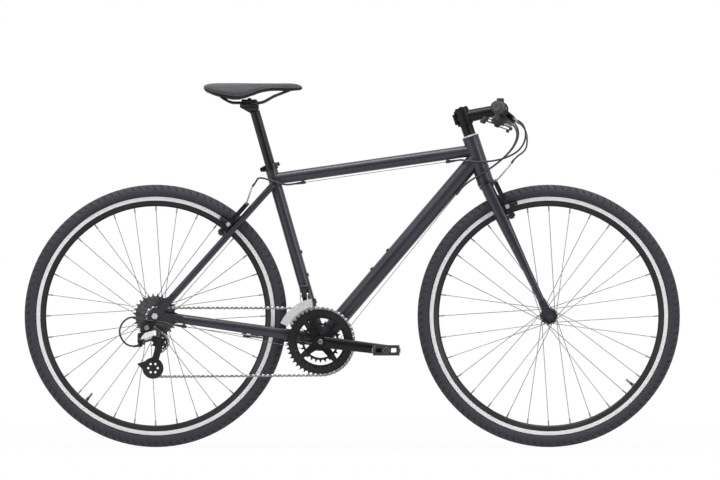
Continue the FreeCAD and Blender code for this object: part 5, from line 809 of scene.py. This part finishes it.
REAR_GEAR_LOOP = [
    (-0.4531, -0.0612, 0.3229), (-0.4629, -0.0623, 0.3244), (-0.4791, -0.0767, 0.3269),
    (-0.5051, -0.0782, 0.3349), (-0.5450, -0.0777, 0.3373), (-0.5810, -0.0785, 0.3500),
    (-0.6070, -0.0795, 0.3360), (-0.6180, -0.0805, 0.3090), (-0.6070, -0.0825, 0.2820),
    (-0.5858, -0.0835, 0.2683), (-0.5680, -0.0835, 0.2710),
]
HOUSING_RADIUS = 0.0025
WIRE_RADIUS = 0.0008
NOODLE_RADIUS = 0.0023
FERRULE_LENGTH = 0.011
BOOT_RIBS = 5
BOOT_STEP = 0.0036
BOOT_START = 0.002
BOOT_RADIUS = 0.0046
BOOT_TAPER = 0.0005
RIB_FLAT = 0.0014
RIB_FOOT = 0.0024
RIB_DEPTH = 0.0009


def cable_run(name, points, radius, material):
    """A cable, wire or bent tube along its route, smooth from end to end."""
    curve = bpy.data.curves.new(name, "CURVE")
    curve.dimensions = "3D"
    curve.bevel_depth = radius
    curve.bevel_resolution = 4
    curve.resolution_u = 8
    curve.use_fill_caps = True
    spline = curve.splines.new("NURBS")
    spline.points.add(len(points) - 1)
    for knot, place in zip(spline.points, points):
        knot.co = (*place, 1.0)
    spline.order_u = 3
    spline.use_endpoint_u = True
    piece = bpy.data.objects.new(name, curve)
    scene.collection.objects.link(piece)
    only(piece)
    bpy.ops.object.convert(target="MESH")
    piece = bpy.context.view_layer.objects.active
    piece.name = name
    bpy.ops.object.shade_smooth()
    piece.data.materials.clear()
    piece.data.materials.append(material)
    return piece


def ferrule(name, end, inward):
    """The moulded cap on the end of a housing."""
    way = (Vector(inward) - Vector(end)).normalized()
    profile = [(0.0022, 0.0), (0.0029, 0.0006), (0.0031, 0.0012),
               (0.0031, FERRULE_LENGTH - 0.002), (0.0028, FERRULE_LENGTH - 0.001),
               (0.0026, FERRULE_LENGTH)]
    return turned(name, profile, Vector(end), way, sides=16)


def rubber_boot(name, anchor):
    """The ribbed rubber boot on a brake's wire, thick beside the noodle and thin at its end."""
    profile = [(0.0030, 0.0), (0.0044, 0.0008)]
    for rib in range(BOOT_RIBS):
        height = BOOT_START + BOOT_STEP * rib
        wide = BOOT_RADIUS - BOOT_TAPER * rib
        profile += [(wide, height), (wide, height + RIB_FLAT),
                    (wide - RIB_DEPTH, height + RIB_FOOT)]
    profile += [(0.0017, 0.0222), (0.0014, 0.0230)]
    return turned(name, profile, anchor, (0, 1, 0), sides=16)


for name, points, start, end in (
    ("rear_brake_housing", REAR_BRAKE, (0.30, -0.02, 0.762), (0.44, -0.09, 0.865)),
    ("left_gear_housing", LEFT_GEAR, (0.29, 0.02, 0.69), (0.42, 0.09, 0.865)),
    ("right_gear_housing", RIGHT_GEAR, (0.29, -0.02, 0.69), (0.42, -0.09, 0.865)),
):
    piece = cable_run(name, points, HOUSING_RADIUS, HOUSING_BLACK)
    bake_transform(piece)
    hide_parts("control_cables")
    cap = ferrule(name + "_ferrule", points[-1], points[-2])
    finished(cap, MOULDED_BLACK, "frame")

for node, body, runs in (
    ("front_brake_cable", "steering", (
        ("front_brake_housing", FRONT_BRAKE, HOUSING_RADIUS, HOUSING_BLACK),
        ("front_noodle", FRONT_NOODLE, NOODLE_RADIUS, BRIGHT_STEEL),
        ("front_brake_wire", FRONT_BRAKE_WIRE, WIRE_RADIUS, BRIGHT_STEEL))),
    ("frame_cables", "frame", (
        ("top_tube_wire", TOP_TUBE_WIRE, WIRE_RADIUS, BRIGHT_STEEL),
        ("rear_brake_tail", REAR_BRAKE_TAIL, HOUSING_RADIUS, HOUSING_BLACK),
        ("rear_noodle", REAR_NOODLE, NOODLE_RADIUS, BRIGHT_STEEL),
        ("rear_brake_wire", REAR_BRAKE_WIRE, WIRE_RADIUS, BRIGHT_STEEL),
        ("front_gear_wire", FRONT_GEAR_WIRE, WIRE_RADIUS, BRIGHT_STEEL),
        ("rear_gear_wire", REAR_GEAR_WIRE, WIRE_RADIUS, BRIGHT_STEEL),
        ("rear_gear_loop", REAR_GEAR_LOOP, HOUSING_RADIUS, HOUSING_BLACK))),
):
    for name, points, radius, material in runs:
        piece = cable_run(name, points, radius, material)
        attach(piece, body)
        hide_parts(node)
for name, points, body in (
    ("front_brake_ferrule", FRONT_BRAKE[::-1], "steering"),
    ("rear_tail_ferrule", REAR_BRAKE_TAIL, "frame"),
    ("rear_tail_end_ferrule", REAR_BRAKE_TAIL[::-1], "frame"),
    ("loop_ferrule", REAR_GEAR_LOOP, "frame"),
    ("loop_end_ferrule", REAR_GEAR_LOOP[::-1], "frame"),
):
    finished(ferrule(name, points[0], points[1]), MOULDED_BLACK, body)
for name, anchor, body in (("front_wire_boot", FRONT_BOOT, "steering"),
                           ("rear_wire_boot", REAR_BOOT, "frame")):
    finished(rubber_boot(name, anchor), BOOT_RUBBER, body)


# Small fittings: tyre valves, pedal caps and reflectors, plugs in the ends of the grips

RIM_INSIDE = 0.2915
VALVE_SINK = 0.0006
VALVES = {"front": (FRONT_AXLE, 129.375), "rear": (REAR_AXLE, 219.375)}
PEDALS = {"right": Vector((0.0896, -0.1795, 0.2602)), "left": Vector((-0.2578, 0.1795, 0.3028))}
PEDAL_HALF = 0.035
PEDAL_WINDOW_AT = 0.0195
PEDAL_WINDOW = (0.0150, 0.2, 0.0130)
WINDOW_ROUND = 0.003
CRANK_FACE = 0.0770
BAR_END = Vector((0.375738, 0.305, 0.897666))
BAR_WAY = Vector((-0.0872, 0.9962, 0.0))
PLUG_SINK = 0.0012
REFLECTOR_SIZE = (0.0028, 0.0600, 0.0125)
REFLECTOR_REACH = 0.0013
REFLECTOR_PLACE = 0.744
REFLECTOR_ROUND = 0.0004
LENS_FRAME = 0.0014
LENS_DEPTH = 0.0008
LENS_FACING = 0.9

# Turned fittings as (radius, height) steps
VALVE_STEM = [(0.0050, 0.0), (0.0062, 0.0006), (0.0062, 0.0032), (0.0050, 0.0038),
              (0.0030, 0.0040), (0.0030, 0.0230), (0.0026, 0.0236), (0.0026, 0.0262)]
VALVE_CAP = [(0.0034, 0.0240), (0.0038, 0.0246), (0.0038, 0.0336), (0.0034, 0.0352),
             (0.0022, 0.0376), (0.0009, 0.0382)]
PEDAL_CAP = [(0.0088, -0.0006), (0.0088, 0.0008), (0.0080, 0.0016), (0.0058, 0.0018),
             (0.0054, 0.0010), (0.0020, 0.0010)]
CRANK_BOLT = [(0.0066, -0.0004), (0.0066, 0.0012), (0.0058, 0.0020), (0.0042, 0.0020),
              (0.0040, 0.0006), (0.0010, 0.0006)]
BAR_PLUG = [(0.0115, -0.0006), (0.0115, 0.0010), (0.0105, 0.0018), (0.0080, 0.0020),
            (0.0070, 0.0014), (0.0030, 0.0014)]

for wheel, (axle, turn) in VALVES.items():
    outward = Vector((math.sin(math.radians(turn)), 0, math.cos(math.radians(turn))))
    foot = axle + outward * (RIM_INSIDE + VALVE_SINK)
    stem = turned(wheel + "_valve_stem", VALVE_STEM, foot, -outward)
    finished(stem, BRIGHT_STEEL, wheel + "_wheel")
    cap = turned(wheel + "_valve_cap", VALVE_CAP, foot, -outward, sides=12)
    finished(cap, MOULDED_BLACK, wheel + "_wheel")

for side_name, face in PEDALS.items():
    outward = Vector((0, 1 if side_name == "left" else -1, 0))
    cap = turned(side_name + "_pedal_cap", PEDAL_CAP, face, outward, sides=32)
    finished(cap, AXLE_STEEL, side_name + "_pedal")
    crank_end = CRANK_AXLE + outward * CRANK_FACE
    bolt = turned(side_name + "_crank_bolt", CRANK_BOLT, crank_end, outward)
    finished(bolt, BRIGHT_STEEL, "crankset")


def open_pedal(side_name):
    """The pedal's solid with a rounded window through it on each side of its barrel."""
    pedal = copied_node(side_name + "_pedal", side_name + "_pedal_cage")
    low, high = (Vector(corner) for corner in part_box(side_name + "_pedal"))
    middle = (low + high) / 2
    for ahead in (-1, 1):
        window = added(bpy.ops.mesh.primitive_cube_add, "pedal_window", size=1.0,
                       location=middle + Vector((PEDAL_WINDOW_AT * ahead, 0, 0)),
                       scale=PEDAL_WINDOW)
        keep_place(window)
        bevelled(window, WINDOW_ROUND, segments=3)
        cut = pedal.modifiers.new("Window", "BOOLEAN")
        cut.operation = "DIFFERENCE"
        cut.solver = "EXACT"
        cut.object = window
        apply_all(pedal)
        bpy.data.objects.remove(window, do_unlink=True)
    only(pedal)
    bpy.ops.object.shade_smooth_by_angle(angle=SMOOTH_ANGLE)
    return pedal


for side_name in PEDALS:
    pedal_name = side_name + "_pedal"
    pedal = finished(open_pedal(side_name), MOULDED_BLACK, pedal_name)
    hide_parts(pedal_name)


def pedal_reflector(name, middle, ahead):
    """A moulded reflector on a pedal's end: a bevelled frame round a sunk lens."""
    piece = added(bpy.ops.mesh.primitive_cube_add, name, size=1.0, location=(0, 0, 0),
                  scale=REFLECTOR_SIZE)
    keep_place(piece)
    select_no_faces()
    for face in piece.data.polygons:
        face.select = face.normal.x * ahead > LENS_FACING
    bpy.ops.object.mode_set(mode="EDIT")
    bpy.ops.mesh.inset(thickness=LENS_FRAME)
    sunk = (-LENS_DEPTH * ahead, 0, 0)
    bpy.ops.mesh.extrude_region_move(TRANSFORM_OT_translate={"value": sunk})
    faces_outward()
    bevelled(piece, REFLECTOR_ROUND)
    piece.location = middle
    keep_place(piece)
    return piece


for side_name, face in PEDALS.items():
    for place, ahead in (("front", 1), ("back", -1)):
        reach = (PEDAL_HALF + REFLECTOR_REACH) * ahead
        middle = Vector((face.x + reach, face.y * REFLECTOR_PLACE, face.z))
        reflector = pedal_reflector(side_name + "_pedal_" + place + "_reflector", middle, ahead)
        finished(reflector, REFLECTOR, side_name + "_pedal")

grip_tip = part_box("grips")[1][1]
for side_name, mirror in (("left", 1), ("right", -1)):
    tip = BAR_END + BAR_WAY * ((grip_tip - BAR_END.y) / BAR_WAY.y - PLUG_SINK)
    plug = turned(side_name + "_bar_plug", BAR_PLUG, (tip.x, tip.y * mirror, tip.z),
                  (BAR_WAY.x, BAR_WAY.y * mirror, 0), sides=32)
    finished(plug, PLUG_PLASTIC, "steering")


# Stage: a pale floor, soft lamps and the camera square on to the drive side

FLOOR_WHITE = 0.93
FLOOR_FADE = (1.0, 2.6)
FLOOR_SIZE = 60.0
FLOOR_DROP = 0.0005
CARD_PLACE = (0, -9.0, 2.2)
CARD_SIZE = (11.0, 5.0, 1.0)
WORLD_LIGHT = 0.4
AIM = (0.0, 0.0, 0.5)
CAMERA_PLACE = (0.0206, -15.0, 0.5509)
CAMERA_LENS = 282.0


def seen_rays(tree):
    """1 for rays from the camera, from reflections and through clear pieces, 0 for the others."""
    path = tree.nodes.new("ShaderNodeLightPath")
    mirrored = math_node(tree, "MAXIMUM", path.outputs["Is Glossy Ray"],
                         path.outputs["Is Transmission Ray"])
    return math_node(tree, "MAXIMUM", path.outputs["Is Camera Ray"], mirrored)


def make_dark_card():
    """A black card that only reflections see: it gives round tubes their dark core."""
    card = added(bpy.ops.mesh.primitive_plane_add, "dark_card", size=1.0, location=CARD_PLACE,
                 rotation=(math.radians(90), 0, 0))
    card.scale = CARD_SIZE
    keep_place(card)
    card.visible_camera = False
    card.visible_diffuse = False
    card.visible_shadow = False
    card.visible_transmission = False
    material = bpy.data.materials.new("black_card")
    material.use_nodes = True
    tree = material.node_tree
    shader = tree.nodes["Principled BSDF"]
    shader.inputs["Roughness"].default_value = 1.0
    noise = tree.nodes.new("ShaderNodeTexNoise")
    black = colour_mix(tree, noise.outputs["Fac"], (0.004, 0.004, 0.004), (0.008, 0.008, 0.008))
    tree.links.new(black, shader.inputs["Base Color"])
    card.data.materials.append(material)


def make_stage():
    """A wide pale floor that keeps the bike's shadow and looks white to the camera."""
    floor = added(bpy.ops.mesh.primitive_plane_add, "floor", size=FLOOR_SIZE,
                  location=(0, 0, -FLOOR_DROP))
    material = bpy.data.materials.new("pale_floor")
    material.use_nodes = True
    tree = material.node_tree
    shader = tree.nodes["Principled BSDF"]
    shader.inputs["Roughness"].default_value = 0.9
    noise = tree.nodes.new("ShaderNodeTexNoise")
    noise.inputs["Scale"].default_value = 3.0
    pale = colour_mix(tree, noise.outputs["Fac"], (0.80, 0.80, 0.80), (0.83, 0.83, 0.83))
    tree.links.new(pale, shader.inputs["Base Color"])
    white = tree.nodes.new("ShaderNodeEmission")
    mixer = tree.nodes.new("ShaderNodeMixShader")
    distance = tree.nodes.new("ShaderNodeVectorMath")
    distance.operation = "LENGTH"
    tree.links.new(tree.nodes.new("ShaderNodeTexCoord").outputs["Object"], distance.inputs[0])
    away = ramp(tree, distance.outputs["Value"], *FLOOR_FADE)
    whiteness = number_mix(tree, away, FLOOR_WHITE, 1.0)
    tree.links.new(math_node(tree, "MULTIPLY", seen_rays(tree), whiteness), mixer.inputs[0])
    tree.links.new(shader.outputs[0], mixer.inputs[1])
    tree.links.new(white.outputs[0], mixer.inputs[2])
    tree.links.new(mixer.outputs[0], tree.nodes["Material Output"].inputs["Surface"])
    floor.data.materials.append(material)


def soft_lamp(name, place, width, height, power):
    """A large area lamp turned towards the bike."""
    light = bpy.data.lights.new(name, "AREA")
    light.shape = "RECTANGLE"
    light.size = width
    light.size_y = height
    light.energy = power
    lamp = bpy.data.objects.new(name, light)
    lamp.location = place
    lamp.rotation_euler = (Vector(AIM) - Vector(place)).to_track_quat("-Z", "Y").to_euler()
    scene.collection.objects.link(lamp)


def make_world():
    """White to the camera and in reflections, a softer white as light."""
    world = bpy.data.worlds.new("studio")
    scene.world = world
    world.use_nodes = True
    tree = world.node_tree
    shade = tree.nodes["Background"]
    shade.inputs["Strength"].default_value = WORLD_LIGHT
    white = tree.nodes.new("ShaderNodeBackground")
    for background in (shade, white):
        background.inputs["Color"].default_value = (1, 1, 1, 1)
    mixer = tree.nodes.new("ShaderNodeMixShader")
    tree.links.new(seen_rays(tree), mixer.inputs[0])
    tree.links.new(shade.outputs[0], mixer.inputs[1])
    tree.links.new(white.outputs[0], mixer.inputs[2])
    tree.links.new(mixer.outputs[0], tree.nodes["World Output"].inputs["Surface"])


make_stage()
make_dark_card()
make_world()
soft_lamp("top_softbox", (0.0, -0.7, 3.2), width=3.6, height=1.2, power=95.0)
for name, across in (("left_strip", -4.2), ("right_strip", 4.2)):
    soft_lamp(name, (across, -3.2, 1.6), width=0.7, height=2.6, power=45.0)

camera = bpy.data.cameras.new("camera")
camera.lens = CAMERA_LENS
camera.sensor_width = 36.0
camera.clip_end = 60.0
viewpoint = bpy.data.objects.new("camera", camera)
viewpoint.location = CAMERA_PLACE
viewpoint.rotation_euler = (math.radians(90), 0, 0)
scene.collection.objects.link(viewpoint)
scene.camera = viewpoint

scene.view_settings.view_transform = "Standard"
